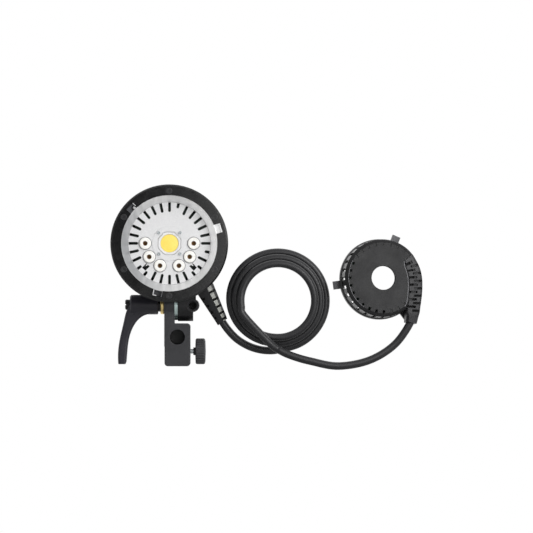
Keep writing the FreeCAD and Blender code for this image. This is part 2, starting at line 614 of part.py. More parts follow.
def lug_screws():
    """Two screws from inside the barrel down into the lug, their heads shaped to the barrel's wall."""
    wall = tube_y(BARREL_R - BARREL_WALL - FIT, 60, 0, BARREL_BACK_Y)
    for y in LUG_SCREW_PLACES:
        head = Part.makeCylinder(3.5, 2.4, V(LUG_SCREW_X, y, -40.6), V(0, 0, 1))
        socket = Part.makeCylinder(1.7, 1.5, V(LUG_SCREW_X, y, -39.5), V(0, 0, 1))
        room = Part.makeCylinder(LUG_SCREW_SHANK_R + 0.1, 40, V(LUG_SCREW_X, y, -70), V(0, 0, 1))
        shank = Part.makeCylinder(LUG_SCREW_SHANK_R, 17.4, V(LUG_SCREW_X, y, -57), V(0, 0, 1))
        yield join(head, shank).cut([socket, wall.cut(room)])


# ---------------------------------------------------------------- stand bracket
def bracket_block():
    """An upright arm with a round eye, stepped out to a block with two stand bores."""
    eye = cyl_x(ARM_R, ARM_X0, ARM_X1)
    arm = box(ARM_X0, ARM_X1, TILT_Y - BLOCK_HALF_Y, TILT_Y + BLOCK_HALF_Y, -110, TILT_Z)
    block = box(BLOCK_X0, BLOCK_X1, TILT_Y - BLOCK_HALF_Y, TILT_Y + BLOCK_HALF_Y,
                BLOCK_BOTTOM_Z, BLOCK_TOP_Z)
    rounded = []
    for edge in block.Edges:
        a, b = edge.Vertexes[0].Point, edge.Vertexes[-1].Point
        along_y = abs(a.y - b.y) > 1
        if along_y and (a.z < BLOCK_TOP_Z - 1 or a.x > BLOCK_X1 - 1):
            rounded.append(edge)
    block = block.makeFillet(3.6, rounded)
    return join(eye, arm, block).cut([
        Part.makeCylinder(RECEIVER_R, 48, V(BLOCK_X, TILT_Y, BLOCK_BOTTOM_Z - 1), V(0, 0, 1)),
        cyl_y(RECEIVER_R, 0, CROSS_BORE_END_Y, BLOCK_X, CROSS_BORE_Z),
        cyl_x(STUD_HOLE_R, ARM_X0 - 1, ARM_X1 + 1),
        Part.makeCylinder(THUMB_SCREW_R + GAP, 30, V(BLOCK_X, TILT_Y, THUMB_Z), V(1, 0, 0)),
        Part.makeCylinder(PAD_R + GAP, 5.2 + RECEIVER_R, V(BLOCK_X, TILT_Y, THUMB_Z), V(1, 0, 0)),
    ])


def friction_disc():
    return tube_x(STUD_HOLE_R, ARM_R + 1.0, ARM_X1 + FIT, LUG_X0 - 0.06)


def thumb_screw():
    tip_x = PAD_X0 + 1.2 + GAP
    return turned_x([(tip_x, 0), (tip_x, PAD_CUP_R), (PAD_X0 + 3.05, PAD_CUP_R),
                     (PAD_X0 + 3.6, THUMB_SCREW_R), (KNOB_X0 + 6, THUMB_SCREW_R), (KNOB_X0 + 6, 0)],
                    TILT_Y, THUMB_Z)


def pressure_pad():
    cup = cyl_x(PAD_R, PAD_X0, PAD_X0 + 3.0, TILT_Y, THUMB_Z)
    return cup.cut(cyl_x(PAD_CUP_R + GAP, PAD_X0 + 1.2, PAD_X0 + 4, TILT_Y, THUMB_Z))


def thumb_knob():
    """A fluted round knob with a short neck and a slightly domed face."""
    body = turned_x([(KNOB_X0 - 2.4, 0), (KNOB_X0 - 2.4, 4.15), (KNOB_X0 - 0.3, 4.15), (KNOB_X0, 12.4),
                     (KNOB_X0 + 0.6, KNOB_R - 0.4), (KNOB_X0 + 1.6, KNOB_R), (KNOB_X1 - 2.2, KNOB_R),
                     (KNOB_X1 - 1.0, KNOB_R - 0.7), (KNOB_X1 - 0.4, KNOB_R - 3), (KNOB_X1, 0)],
                    TILT_Y, THUMB_Z)
    flutes = []
    for k in range(30):
        a, b = polar(KNOB_R + 0.45, 12 * k)
        flutes.append(cyl_x(0.9, KNOB_X0 - 1, KNOB_X1 + 1, TILT_Y + a, THUMB_Z + b))
    return body.cut(flutes + [cyl_x(THUMB_SCREW_R + FIT, KNOB_X0 - 3, KNOB_X0 + 6 + FIT, TILT_Y, THUMB_Z)])


# ---------------------------------------------------------------- clamp lever
def clamp_stud():
    """The threaded stud and the serrated steel boss that the lever drops onto."""
    stud = cyl_x(STUD_R, -24, NUT_X1 + 1)
    boss = cyl_x(INSERT_R, -30, COLLAR_X0)
    serrations = []
    for k in range(24):
        a, b = polar(INSERT_R + 0.2, 15 * k)
        serrations.append(cyl_x(0.55, -31, -22, TILT_Y + a, TILT_Z + b))
    thread = cyl_x(BUTTON_SHANK_R + FIT, -31, -22)
    return join(stud, boss).cut(serrations + [thread])


def brass_collar():
    rim_r = 10.25
    return turned_x([(COLLAR_X0 + FIT, STUD_R + FIT), (COLLAR_X0 + FIT, rim_r - 0.85),
                     (COLLAR_X0 + 0.8, rim_r), (ARM_X0 - 1.0, rim_r), (ARM_X0 - FIT, rim_r - 0.65),
                     (ARM_X0 - FIT, STUD_R + FIT)])


def lever_button():
    """The lever's retaining screw. Its head slides in the lever's bore."""
    end_x = HUB_X0 - 5.1
    head = turned_x([(end_x, 0), (end_x, BUTTON_HEAD_R - 0.9), (end_x + 0.9, BUTTON_HEAD_R),
                     (HUB_X0, BUTTON_HEAD_R), (HUB_X0, 0)])
    shank = cyl_x(BUTTON_SHANK_R, HUB_X0 - 0.7, -24)
    slot = box(end_x - 0.6, end_x + 1.0, TILT_Y - 6, TILT_Y + 6, TILT_Z - 0.6, TILT_Z + 0.6)
    return join(head, shank).cut(slot)


def lever_spring():
    length = abs(HUB_X0 - SHOULDER_X) - 1.2
    spring = coil_spring(3.9, 0.5, length, 4.5)
    spring.rotate(V(0, 0, 0), V(0, 1, 0), 90)
    spring.translate(V(HUB_X0 + 0.6, TILT_Y, TILT_Z))
    return spring


def clamp_lever():
    """A hub and a curved handle that sweeps down and slightly outwards."""
    outer = [(-39.5, -54.9), (-41.6, -61.0), (-46.4, -71.8), (-49.7, -84.8), (-54.0, -104.0), (-55.3, -128.4)]
    inner = [(-46.4, -126.0), (-45.4, -113.0), (-43.0, -98.5), (-38.7, -88.0), (-33.0, -80.6),
             (-26.0, -76.4), (-17.0, -75.6)]
    out_curve = Part.BSplineCurve()
    out_curve.interpolate([V(x, TILT_Y, z) for x, z in outer])
    in_curve = Part.BSplineCurve()
    in_curve.interpolate([V(x, TILT_Y, z) for x, z in inner])
    tip = [V(x, TILT_Y, z) for x, z in (outer[-1], (-54.6, -128.9), (-47.6, -128.9), inner[0])]
    top = [V(x, TILT_Y, z) for x, z in (inner[-1], (-17.0, -60.0), (-30.0, -55.2), outer[0])]
    edges = [out_curve.toShape()] + Part.makePolygon(tip).Edges + [in_curve.toShape()]
    edges += Part.makePolygon(top).Edges
    face = Part.Face(Part.Wire(edges))
    handle = face.extrude(V(0, 13.0, 0))
    handle.translate(V(0, -6.5, 0))
    slim = handle.makeFillet(2.6, [e for e in handle.Edges if is_long_handle_edge(e)])
    hub = turned_x([(HUB_X0, 0), (HUB_X0, HUB_R - 1.4), (HUB_X0 + 1.4, HUB_R), (HUB_X1 - 0.8, HUB_R),
                    (HUB_X1, HUB_R - 0.8), (HUB_X1, 0)])
    body = join(slim, hub)
    return body.cut([cyl_x(LEVER_BORE_R, HUB_X0 - 8, SHOULDER_X), cyl_x(BUTTON_SHANK_R + 0.15, -40, -20),
                     cyl_x(INSERT_R + 0.1, -30.2, HUB_X1 + 1)])


def is_long_handle_edge(edge):
    span = edge.BoundBox
    return span.YLength < 0.01 and span.ZLength > 30


# ---------------------------------------------------------------- cable and boots
def coil_radius(turn):
    """Loops of equal radius that step inwards between the left side and the bottom."""
    whole = math.floor(turn)
    ease = min(max((turn - whole - 0.7) / 0.3, 0.0), 1.0)
    ease = ease * ease * (3 - 2 * ease)
    return COIL_R - COIL_STEP_R * min(max(whole + ease, 0.0), 2.0)


def lead_points():
    return [along_boot(s) for s in (-3.0, 15.0, 35.0, 45.0, 54.5)]


def loop_points():
    """Loops seen from the front run anticlockwise and step nearer, from the lower left round."""
    points = []
    step = 15.0
    for k in range(1, int(COIL_TURNS * 360 / step) + 1):
        angle = LEAD_ANGLE + step * k
        lead = max(0.0, 1.0 - step * k / LEAD_SPAN)
        radius = coil_radius((angle - 270.0) / 360.0) + (LEAD_R - COIL_R) * lead
        x, z = polar(radius, angle)
        points.append(V(COIL_X + x, ENTRY.y - COIL_STEP_Y * step * k / 360.0, COIL_Z + z))
    return points


def tail_points():
    """From the point of flex, under the coil and up into the plug's boot."""
    end = plug_place().multVec(V(30.0, PLUG_BOOT_MID_Y, -47.0))
    inside = plug_place().multVec(V(30.65, PLUG_BOOT_MID_Y, -36.0))
    return [FLEX, V(179.1, 0.0, -130.1), V(211.9, 2.0, -124.1), V(238.7, 4.0, -107.7), end, inside]


def coil_points():
    """From the barrel, round the loops and across the front of them to just short of the flex point."""
    crossing = [V(106.0, 0.2, -105.4), V(118.1, -0.6, -114.0), V(131.5, -1.0, -119.8)]
    return lead_points() + loop_points() + crossing + [FLEX - FLEX_ALONG * FLEX_GAP]


def swept_cable(points, first_along, last_along):
    curve = Part.BSplineCurve()
    curve.interpolate(Points=points, InitialTangent=first_along, FinalTangent=last_along)
    ring = Part.Wire(Part.makeCircle(CABLE_R, points[0], first_along))
    sweep = Part.BRepOffsetAPI.MakePipeShell(Part.Wire(curve.toShape()))
    sweep.setBiNormalMode(V(0, 1, 0))
    sweep.add(ring, False, False)
    sweep.build()
    sweep.makeSolid()
    return sweep.shape()


def cable_coil():
    return swept_cable(coil_points(), boot_direction(), FLEX_ALONG)


def cable_tail():
    """The tail starts as a half ball about the flex point, so that it can swing there."""
    points = tail_points()
    tail = swept_cable(points, FLEX_ALONG, points[-1] - points[-2])
    return tail.fuse(Part.makeSphere(CABLE_R - FIT, FLEX))


def bend_slot(at, along, across, near, far, y0, y1):
    """A slot square to a boot's axis, open from near to far out on one side of it."""
    half = RIB_SLOT / 2
    places = ((-half, near), (half, near), (half, far), (-half, far))
    corners = [at + along * a + across * b for a, b in places]
    face = Part.Face(Part.makePolygon(corners + corners[:1]))
    face.translate(V(0, y0 - at.y, 0))
    return face.extrude(V(0, y1 - y0, 0))


def head_boot():
    """A tapered rubber boot on the barrel, slotted from both sides so that it bends."""
    along = boot_direction()
    right = V(-along.z, 0, along.x)
    cone = Part.makeCone(BOOT_R, BOOT_TIP_R, BOOT_LENGTH - 3, along_boot(3), along)
    neck = Part.makeCylinder(BOOT_NECK_R, 12, along_boot(-4), along)
    bore_r, mouth = CABLE_R + CABLE_PLAY, 16.0
    tools = [Part.makeCylinder(bore_r, 80, along_boot(-10), along),
             Part.makeCone(bore_r, bore_r + 0.7, mouth, along_boot(BOOT_LENGTH - mouth), along)]
    for k in range(5):
        for side, shift in ((1, 0.0), (-1, RIB_PITCH / 2)):
            at = along_boot(14.0 + shift + k * RIB_PITCH)
            near = CABLE_R + 1.2
            tools.append(bend_slot(at, along, right * side, near, 20, at.y - 12, at.y + 12))
    return join(cone.cut(cyl_y(BARREL_R + FIT, 0, 130)), neck).cut(tools)


# ---------------------------------------------------------------- plug
def plug_place():
    turn = FreeCAD.Rotation(V(0, 0, 1), PLUG_YAW).multiply(FreeCAD.Rotation(V(1, 0, 0), -PLUG_PITCH))
    return FreeCAD.Placement(PLUG, turn)


def placed(shape):
    moved = shape.copy()
    moved.Placement = plug_place().multiply(moved.Placement)
    return moved


def boot_outline(grow=0.0):
    """The plug boot seen from the front: round the rim, then straight down to the tip."""
    top = V(32.4 + grow, 0, 25.0 + grow)
    shoulder = V(42.5 + grow, 0, -6.0)
    tip_out = V(36.0 + grow, 0, -48.5 - grow)
    tip_in = V(24.0 - grow, 0, -46.5 - grow)
    neck = V(26.3 - grow, 0, -27.0)
    high = V(24.0 - grow, 0, 15.0)
    corner = V(24.2 - grow, 0, 18.8 + grow)
    edges = [Part.Arc(top, V(39.8 + grow, 0, 12.0), shoulder).toShape(),
             Part.Arc(shoulder, V(41.4 + grow, 0, -25.0), tip_out).toShape(),
             Part.makeLine(tip_out, tip_in), Part.makeLine(tip_in, neck),
             Part.Arc(neck, V(28.6 - grow, 0, -6.0), high).toShape(),
             Part.makeLine(high, corner), Part.makeLine(corner, top)]
    return Part.Face(Part.Wire(edges))


def boot_solid(grow=0.0):
    face = boot_outline(grow)
    face.translate(V(0, PLUG_BOOT_Y0 - grow, 0))
    return face.extrude(V(0, PLUG_BOOT_Y1 - PLUG_BOOT_Y0 + 2 * grow, 0))


def plug_vents():
    return [90 + k * 360 / VENT_COUNT for k in range(VENT_COUNT)]


def plug_shell():
    """The rear shell: a shallow drum with a centre tube and vent slots round its wall."""
    back, front = PLUG_HALF_T, -PLUG_HALF_T + 2.5
    inner_r = PLUG_FRONT_R - PLUG_WALL
    drum = turned_y([(PLUG_TUBE_R, back), (PLUG_R - 1, back), (PLUG_R, back - 1), (PLUG_R, back - 5),
                     (PLUG_FRONT_R + 0.3, back - 6.5), (PLUG_FRONT_R, front), (inner_r, front),
                     (inner_r, back - PLUG_WALL), (PLUG_TUBE_R + PLUG_WALL, back - PLUG_WALL),
                     (PLUG_TUBE_R + PLUG_WALL, front), (PLUG_TUBE_R, front)])
    holes = [radial_box(inner_r - 2, PLUG_R + 2, 3.4, front - 1, back - 8, a) for a in plug_vents()]
    holes.append(boot_solid(0.25))
    for a in SOCKET_ANGLES:
        holes.append(cyl_y(PLUG_PIN_ROOT_R + FIT, back - 4, back + 1, *polar(SOCKET_R, a)))
    for a in PLUG_LUG_ANGLES:
        holes.append(radial_box(PLUG_LUG_IN_R - FIT, PLUG_R + 1, PLUG_LUG_W + 2 * FIT, back - 4.5,
                                back - 1.5 + FIT, a))
    holes += [radial_box(PLUG_VENT_IN_R, PLUG_LUG_IN_R - 0.4, 3.2, back - 4, back + 1, a)
              for a in plug_vents()]
    return drum.cut(holes)


def plug_cover():
    """The front cover, with a bevelled edge, radial notches and a lip round the centre hole."""
    front, back = -PLUG_HALF_T, -PLUG_HALF_T + 2.5
    disc = turned_y([(PLUG_HOLE_R, front + 0.6), (PLUG_HOLE_R + 0.6, front), (PLUG_COVER_R - 2.4, front),
                     (PLUG_COVER_R, front + 1.3), (PLUG_FRONT_R, back - FIT), (PLUG_HOLE_R, back - FIT)])
    notches = [radial_box(PLUG_COVER_R - 5.6, PLUG_COVER_R - 2.0, 2.6, front - 1, back + 1, a)
               for a in plug_vents()]
    return disc.cut(notches + [boot_solid(0.6)])


def plug_lugs():
    back = PLUG_HALF_T
    for a in PLUG_LUG_ANGLES:
        yield radial_box(PLUG_LUG_IN_R, PLUG_LUG_R, PLUG_LUG_W, back - 4.5 + FIT, back - 1.5, a)


def plug_pins():
    """Six contact pins, laid out as the head's own sockets are."""
    back = PLUG_HALF_T
    for a in SOCKET_ANGLES:
        x, z = polar(SOCKET_R, a)
        root = cyl_y(PLUG_PIN_ROOT_R, back - 6.0, back, x, z)
        pin = cyl_y(PLUG_PIN_R, back - 1.0, back + PLUG_PIN_LENGTH, x, z)
        nose = Part.makeCone(PLUG_PIN_R, PLUG_PIN_R - 0.7, 1.0, V(x, back + PLUG_PIN_LENGTH, z), V(0, 1, 0))
        yield join(root, pin, nose)


def plug_terminal_board():
    back = PLUG_HALF_T - 6.0
    board = tube_y(PLUG_TUBE_R + PLUG_WALL + 0.4, 34.0, back - 1.6, back - FIT)
    return board.cut(boot_solid(0.5))


def plug_boot():
    """A flat curved boot down the plug's side, slotted in its front and back faces."""
    body = boot_solid()
    edges = [e for e in body.Edges if e.BoundBox.YLength < 0.01 and e.BoundBox.ZLength > 14]
    body = body.makeFillet(2.5, edges)
    low, top = V(29.7, PLUG_BOOT_MID_Y, -52), V(31.6, PLUG_BOOT_MID_Y, -20)
    tools = [Part.makeCylinder(CABLE_R + 0.6, (top - low).Length, low, top - low)]
    deep = 2.2
    for k in range(7):
        for side, shift in ((1, RIB_PITCH / 2), (-1, 0.0)):
            z = 15.5 - shift - k * RIB_PITCH
            at = V(35.2 - 0.006 * (z + 9) ** 2, 0, z)
            for y0, y1 in ((PLUG_BOOT_Y0 - 1, PLUG_BOOT_Y0 + deep), (PLUG_BOOT_Y1 - deep, PLUG_BOOT_Y1 + 1)):
                tools.append(bend_slot(at, V(0, 0, 1), V(side, 0, 0), -0.8, 14, y0, y1))
    return body.cut(tools)


def main():
    save("mount_ring", mount_ring())
    save("ring_screws", *ring_screws())
    save("slot_guide", slot_guide())
    save("lock_plate", lock_plate())
    save("slot_leaf", slot_leaf())
    save("slot_pad", slot_pad())
    save("reflector_cup", reflector_cup())
    save("lamp_base_plate", lamp_base_plate())
    save("plate_clips", *plate_clips())
    save("tube_sockets", *tube_sockets())
    save("socket_contacts", *socket_contacts())
    save("wiring_board", wiring_board())
    save("trigger_coil", *trigger_coil())
    led_board, led_emitter = led_parts()
    save("led_board", led_board)
    save("led_emitter", led_emitter)
    save("led_screws", *led_screws())
    save("led_heat_sink", led_heat_sink())
    save("head_barrel", head_barrel())
    save("rear_cover", rear_cover())
    save("cover_screws", *cover_screws())
    save("fan_frame", fan_frame())
    save("fan_rotor", fan_rotor())
    save("fan_screws", *fan_screws())
    save("lock_slider", lock_slider())
    save("lock_spring", lock_spring())
    save("tilt_lug", tilt_lug())
    save("clamp_nut", clamp_nut())
    save("umbrella_bush", umbrella_bush())
    save("lug_screws", *lug_screws())
    save("bracket_block", bracket_block())
    save("friction_disc", friction_disc())
    save("thumb_screw", thumb_screw())
    save("pressure_pad", pressure_pad())
    save("thumb_knob", thumb_knob())
    save("clamp_stud", clamp_stud())
    save("brass_collar", brass_collar())
    save("lever_button", lever_button())
    save("lever_spring", lever_spring())
    save("clamp_lever", clamp_lever())
    save("head_boot", head_boot())
    save("plug_shell", placed(plug_shell()))
    save("plug_cover", placed(plug_cover()))
    save("plug_lugs", *[placed(s) for s in plug_lugs()])
    save("plug_pins", *[placed(s) for s in plug_pins()])
    save("plug_terminal_board", placed(plug_terminal_board()))
    save("plug_boot", placed(plug_boot()))
    save("cable_coil", cable_coil())
    save("cable_tail", cable_tail())


main()
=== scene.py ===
"""Looks of the remote flash head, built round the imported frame. Metres, the row's own axes."""
import bpy
import json
import math
from mathutils import Matrix, Vector


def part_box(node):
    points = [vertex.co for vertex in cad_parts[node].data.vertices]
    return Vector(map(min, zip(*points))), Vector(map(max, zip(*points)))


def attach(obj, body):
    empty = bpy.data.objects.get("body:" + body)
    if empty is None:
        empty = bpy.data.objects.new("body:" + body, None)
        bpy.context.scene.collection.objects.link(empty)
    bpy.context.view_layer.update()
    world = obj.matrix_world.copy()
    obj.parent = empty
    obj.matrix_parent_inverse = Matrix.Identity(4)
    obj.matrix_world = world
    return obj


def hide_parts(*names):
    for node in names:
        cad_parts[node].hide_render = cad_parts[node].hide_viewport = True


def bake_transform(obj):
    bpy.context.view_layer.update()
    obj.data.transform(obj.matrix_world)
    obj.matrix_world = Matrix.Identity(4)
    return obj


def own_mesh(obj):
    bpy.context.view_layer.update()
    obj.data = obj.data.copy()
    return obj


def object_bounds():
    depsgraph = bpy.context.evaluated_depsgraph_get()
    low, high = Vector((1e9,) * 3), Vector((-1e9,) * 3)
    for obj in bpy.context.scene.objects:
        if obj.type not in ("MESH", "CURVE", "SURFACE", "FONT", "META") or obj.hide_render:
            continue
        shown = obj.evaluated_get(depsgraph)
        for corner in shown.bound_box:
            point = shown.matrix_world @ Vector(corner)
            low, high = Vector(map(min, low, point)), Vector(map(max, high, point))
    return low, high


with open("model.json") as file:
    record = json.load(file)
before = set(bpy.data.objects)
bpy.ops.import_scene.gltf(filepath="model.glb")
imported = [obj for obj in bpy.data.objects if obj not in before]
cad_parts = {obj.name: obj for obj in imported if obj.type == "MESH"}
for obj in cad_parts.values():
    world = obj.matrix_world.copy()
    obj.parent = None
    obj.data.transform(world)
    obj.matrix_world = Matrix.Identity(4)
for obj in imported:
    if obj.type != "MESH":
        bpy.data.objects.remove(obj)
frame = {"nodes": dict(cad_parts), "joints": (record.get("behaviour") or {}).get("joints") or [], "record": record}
cad_low, cad_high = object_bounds()
cad_middle = (cad_low + cad_high) / 2
nodes = frame["nodes"]
joints = {joint["name"]: joint for joint in frame["joints"]}
mounts = {mount["name"]: mount for mount in frame["record"]["mounts"]}
MM = 0.001


# ---------------------------------------------------------------- node helpers
class Nodes:
    """A node tree with short calls for the nodes used here. Noise scales are features to a metre."""

    def __init__(self, tree, space):
        self.tree = tree
        self.place = self.node("ShaderNodeTexCoord").outputs[space]

    def node(self, kind, **settings):
        made = self.tree.nodes.new(kind)
        for key, value in settings.items():
            setattr(made, key, value)
        return made

    def give(self, socket, value):
        """Links another node's socket to this one, or sets its value."""
        if isinstance(value, bpy.types.NodeSocket):
            self.tree.links.new(value, socket)
        else:
            socket.default_value = value

    def feed(self, node, **values):
        """Gives values to a node's inputs by name, with _ for a space."""
        for key, value in values.items():
            self.give(node.inputs[key.replace("_", " ")], value)
        return node

    def fill(self, node, *values):
        """Gives values to a node's first inputs in their order."""
        for socket, value in zip(node.inputs, values):
            self.give(socket, value)
        return node

    def noise(self, scale, detail=3.0, roughness=0.5, stretch=(1, 1, 1), distortion=0.0):
        mapped = self.feed(self.node("ShaderNodeMapping"), Vector=self.place, Scale=stretch)
        made = self.feed(self.node("ShaderNodeTexNoise"), Vector=mapped.outputs[0], Scale=scale,
                         Detail=detail, Roughness=roughness, Distortion=distortion)
        return made.outputs["Fac"]

    def remap(self, value, low, high, to_low=0.0, to_high=1.0, curve="LINEAR"):
        made = self.node("ShaderNodeMapRange", clamp=True, interpolation_type=curve)
        return self.fill(made, value, low, high, to_low, to_high).outputs[0]

    def math(self, operation, first, second=0.0):
        made = self.node("ShaderNodeMath", operation=operation)
        return self.fill(made, first, second).outputs[0]

    def vector(self, operation, first, second=(0, 0, 0)):
        made = self.node("ShaderNodeVectorMath", operation=operation)
        self.fill(made, first, second)
        return made.outputs["Value" if operation in ("DOT_PRODUCT", "LENGTH") else "Vector"]

    def along(self, axis, place=None):
        """How far a point lies along an axis, 0 to 2."""
        made = self.node("ShaderNodeSeparateXYZ")
        return self.fill(made, self.place if place is None else place).outputs[axis]

    def mix(self, factor, first, second):
        """Mixes two colours. The node's sockets 6, 7 and 2 are its colours in and out."""
        made = self.node("ShaderNodeMix", data_type="RGBA")
        self.give(made.inputs[0], factor)
        for index, colour in ((6, first), (7, second)):
            linked = isinstance(colour, bpy.types.NodeSocket)
            self.give(made.inputs[index], colour if linked else (*colour, 1.0))
        return made.outputs[2]

    def mix_shaders(self, factor, first, second):
        return self.fill(self.node("ShaderNodeMixShader"), factor, first, second).outputs[0]

    def edges(self, radius):
        """A normal that is rounded near edges, and a mask that is 1 on them."""
        bevel = self.feed(self.node("ShaderNodeBevel", samples=6), Radius=radius).outputs[0]
        flat = self.node("ShaderNodeNewGeometry").outputs["Normal"]
        return bevel, self.remap(self.vector("DOT_PRODUCT", bevel, flat), 0.995, 0.86)

    def bump(self, height, strength, distance, normal=None):
        made = self.feed(self.node("ShaderNodeBump"), Height=height, Strength=strength, Distance=distance)
        if normal is not None:
            self.give(made.inputs["Normal"], normal)
        return made.outputs[0]


class Shader(Nodes):
    """A new material, set out in its object's own space."""

    def __init__(self, name):
        self.material = bpy.data.materials.new(name)
        self.material.use_nodes = True
        super().__init__(self.material.node_tree, "Object")
        self.surface = self.tree.nodes["Principled BSDF"]


def shade(value):
    """A linear value for a display value from 0 to 255."""
    share = value / 255.0
    return share / 12.92 if share <= 0.04045 else ((share + 0.055) / 1.055) ** 2.4


def display(red, green, blue):
    return (shade(red), shade(green), shade(blue))


def scaled(colour, factor):
    return tuple(min(part * factor, 1) for part in colour)


def painted_bore_shade(s, body, centre, radius, soft=0.1 * MM):
    """Painted shade: a colour that turns dark within a radius of a line along y, as shade inside a bore. It
    darkens a disc on every face that the line crosses.
    """
    across = s.vector("MULTIPLY", s.vector("SUBTRACT", s.place, centre), (1, 0, 1))
    inside = s.remap(s.vector("LENGTH", across), radius + soft, radius)
    return s.mix(inside, body, display(14, 14, 16))


def moulded(name, colour, rough, grain=2600.0, depth=0.25, mottle=0.18, edge=0.35, wear_and_highlight=1.9,
            metallic=0.0, specular=0.5, bore_shade=None):
    """Paint, plastic or rubber: fine grain, soft patches, and rounded edges painted lighter, which is rubbed wear
    at small edge factors and painted edge highlights at large ones.
    """
    s = Shader(name)
    normal, rim = s.edges(edge * MM)
    patches = s.remap(s.noise(38.0, 4.0, 0.6), 0.3, 0.7)
    body = s.mix(patches, scaled(colour, 1 - mottle), scaled(colour, 1 + mottle))
    # lighter edges: rubbed wear, and painted edge highlights where the factor is large
    rub_and_highlight = s.math("MULTIPLY", rim, s.remap(s.noise(160.0, 4.0, 0.7), 0.35, 0.75))
    body = s.mix(rub_and_highlight, body, scaled(colour, wear_and_highlight))
    # painted shade inside a bore, when one is given
    if bore_shade:
        body = painted_bore_shade(s, body, *bore_shade)
    fine = s.noise(grain, 2.0, 0.6)
    smudge = s.remap(s.noise(60.0, 5.0, 0.65, distortion=0.4), 0.3, 0.75, rough - 0.05, rough + 0.09)
    s.feed(s.surface, Base_Color=body, Metallic=metallic, Roughness=smudge, Specular_IOR_Level=specular,
           Normal=s.bump(fine, depth, 0.12 * MM, normal))
    return s.material


def metal(name, colour, rough, brush=(1, 1, 1), scale=900.0, depth=0.12, edge=0.25, stain=0.12):
    """Bare metal with a brushed grain that runs along the axes with a small stretch."""
    s = Shader(name)
    normal, rim = s.edges(edge * MM)
    patches = s.remap(s.noise(45.0, 5.0, 0.6), 0.3, 0.72)
    body = s.mix(patches, scaled(colour, 1 - stain), colour)
    body = s.mix(s.math("MULTIPLY", rim, 0.5), body, scaled(colour, 1.25))
    lines = s.noise(scale, 3.0, 0.65, stretch=brush)
    s.feed(s.surface, Base_Color=body, Metallic=1.0,
           Roughness=s.remap(lines, 0.25, 0.75, max(rough - 0.08, 0.05), rough + 0.1),
           Normal=s.bump(lines, depth, 0.06 * MM, normal))
    return s.material


def turned_metal(name, colour, rough, axis, centre, depth=0.15):
    """Metal with fine rings round an axis, as a lathe or a spun cup leaves."""
    s = Shader(name)
    normal, rim = s.edges(0.3 * MM)
    spot = s.vector("SUBTRACT", s.place, centre)
    squares = [s.math("POWER", s.along(k, spot), 2.0) for k in range(3) if k != axis]
    radius = s.math("SQRT", s.math("ADD", *squares))
    joined = s.fill(s.node("ShaderNodeCombineXYZ"), radius, s.along(axis, spot)).outputs[0]
    texture = s.feed(s.node("ShaderNodeTexNoise"), Vector=joined, Scale=2400.0, Detail=3.0)
    rings = texture.outputs["Fac"]
    stains = s.remap(s.noise(50.0, 5.0, 0.6), 0.3, 0.72)
    body = s.mix(stains, scaled(colour, 0.86), colour)
    body = s.mix(s.math("MULTIPLY", rim, 0.5), body, scaled(colour, 1.2))
    s.feed(s.surface, Base_Color=body, Metallic=1.0,
           Roughness=s.remap(rings, 0.3, 0.7, rough - 0.06, rough + 0.1),
           Normal=s.bump(rings, depth, 0.05 * MM, normal))
    return s.material


# ---------------------------------------------------------------- materials
def enamel(name, glow=0.0):
    """Silvery white sprayed finish with a fine sparkle. A glow, when given, is painted light."""
    s = Shader(name)
    normal, rim = s.edges(0.15 * MM)
    fleck = s.remap(s.noise(2200.0, 2.0, 0.7), 0.35, 0.7)
    body = s.mix(fleck, display(198, 198, 199), display(228, 228, 228))
    body = s.mix(s.math("MULTIPLY", rim, 0.8), body, display(164, 165, 168))
    s.feed(s.surface, Base_Color=body, Metallic=0.12, Roughness=0.5,
           Emission_Color=body, Emission_Strength=glow,
           Normal=s.bump(fleck, 0.14, 0.08 * MM, normal))
    return s.material


def spun_cup():
    """Brushed silver wall with soft bands along the lamp's axis, darker at its left and lighter at its right as
    painted shade and painted light, with a faint painted glow at the right.
    """
    s = Shader("cup_silver")
    normal, rim = s.edges(0.3 * MM)
    bands = s.remap(s.noise(260.0, 2.0, 0.5, stretch=(1, 0.03, 0.25)), 0.3, 0.7, -0.1, 0.1)
    # painted light and shade: the wall is darker to the left and lighter to the right and top
    aslant = s.math("ADD", s.along(0), s.math("MULTIPLY", s.along(2), 0.25))
    share = s.math("ADD", s.remap(aslant, -47.0 * MM, 5.0 * MM), bands)
    body = s.mix(share, display(152, 153, 155), display(232, 232, 232))
    body = s.mix(s.math("MULTIPLY", rim, 0.5), body, display(246, 246, 246))
    lines = s.noise(1500.0, 3.0, 0.6, stretch=(1, 0.05, 1))
    # painted light: a faint glow on the right of the wall
    glow = s.math("MULTIPLY", s.remap(aslant, 22.0 * MM, 46.0 * MM), 0.25)
    s.feed(s.surface, Base_Color=body, Metallic=0.3, Roughness=s.remap(lines, 0.3, 0.7, 0.3, 0.46),
           Emission_Color=body, Emission_Strength=glow,
           Normal=s.bump(lines, 0.15, 0.05 * MM, normal))
    return s.material


def phosphor():
    """Yellow phosphor under clear silicone, faintly grained and self-lit."""
    s = Shader("led_phosphor")
    cells = s.feed(s.node("ShaderNodeTexVoronoi"), Vector=s.place, Scale=1100.0).outputs["Distance"]
    body = s.mix(s.remap(cells, 0.1, 0.7), display(255, 233, 116), display(252, 222, 98))
    dim = s.mix(0.5, body, (0.0, 0.0, 0.0))
    s.feed(s.surface, Base_Color=dim, Roughness=0.4, Coat_Weight=0.12, Coat_Roughness=0.2,
           Emission_Color=body, Emission_Strength=0.47, Normal=s.bump(cells, 0.1, 0.05 * MM))
    return s.material


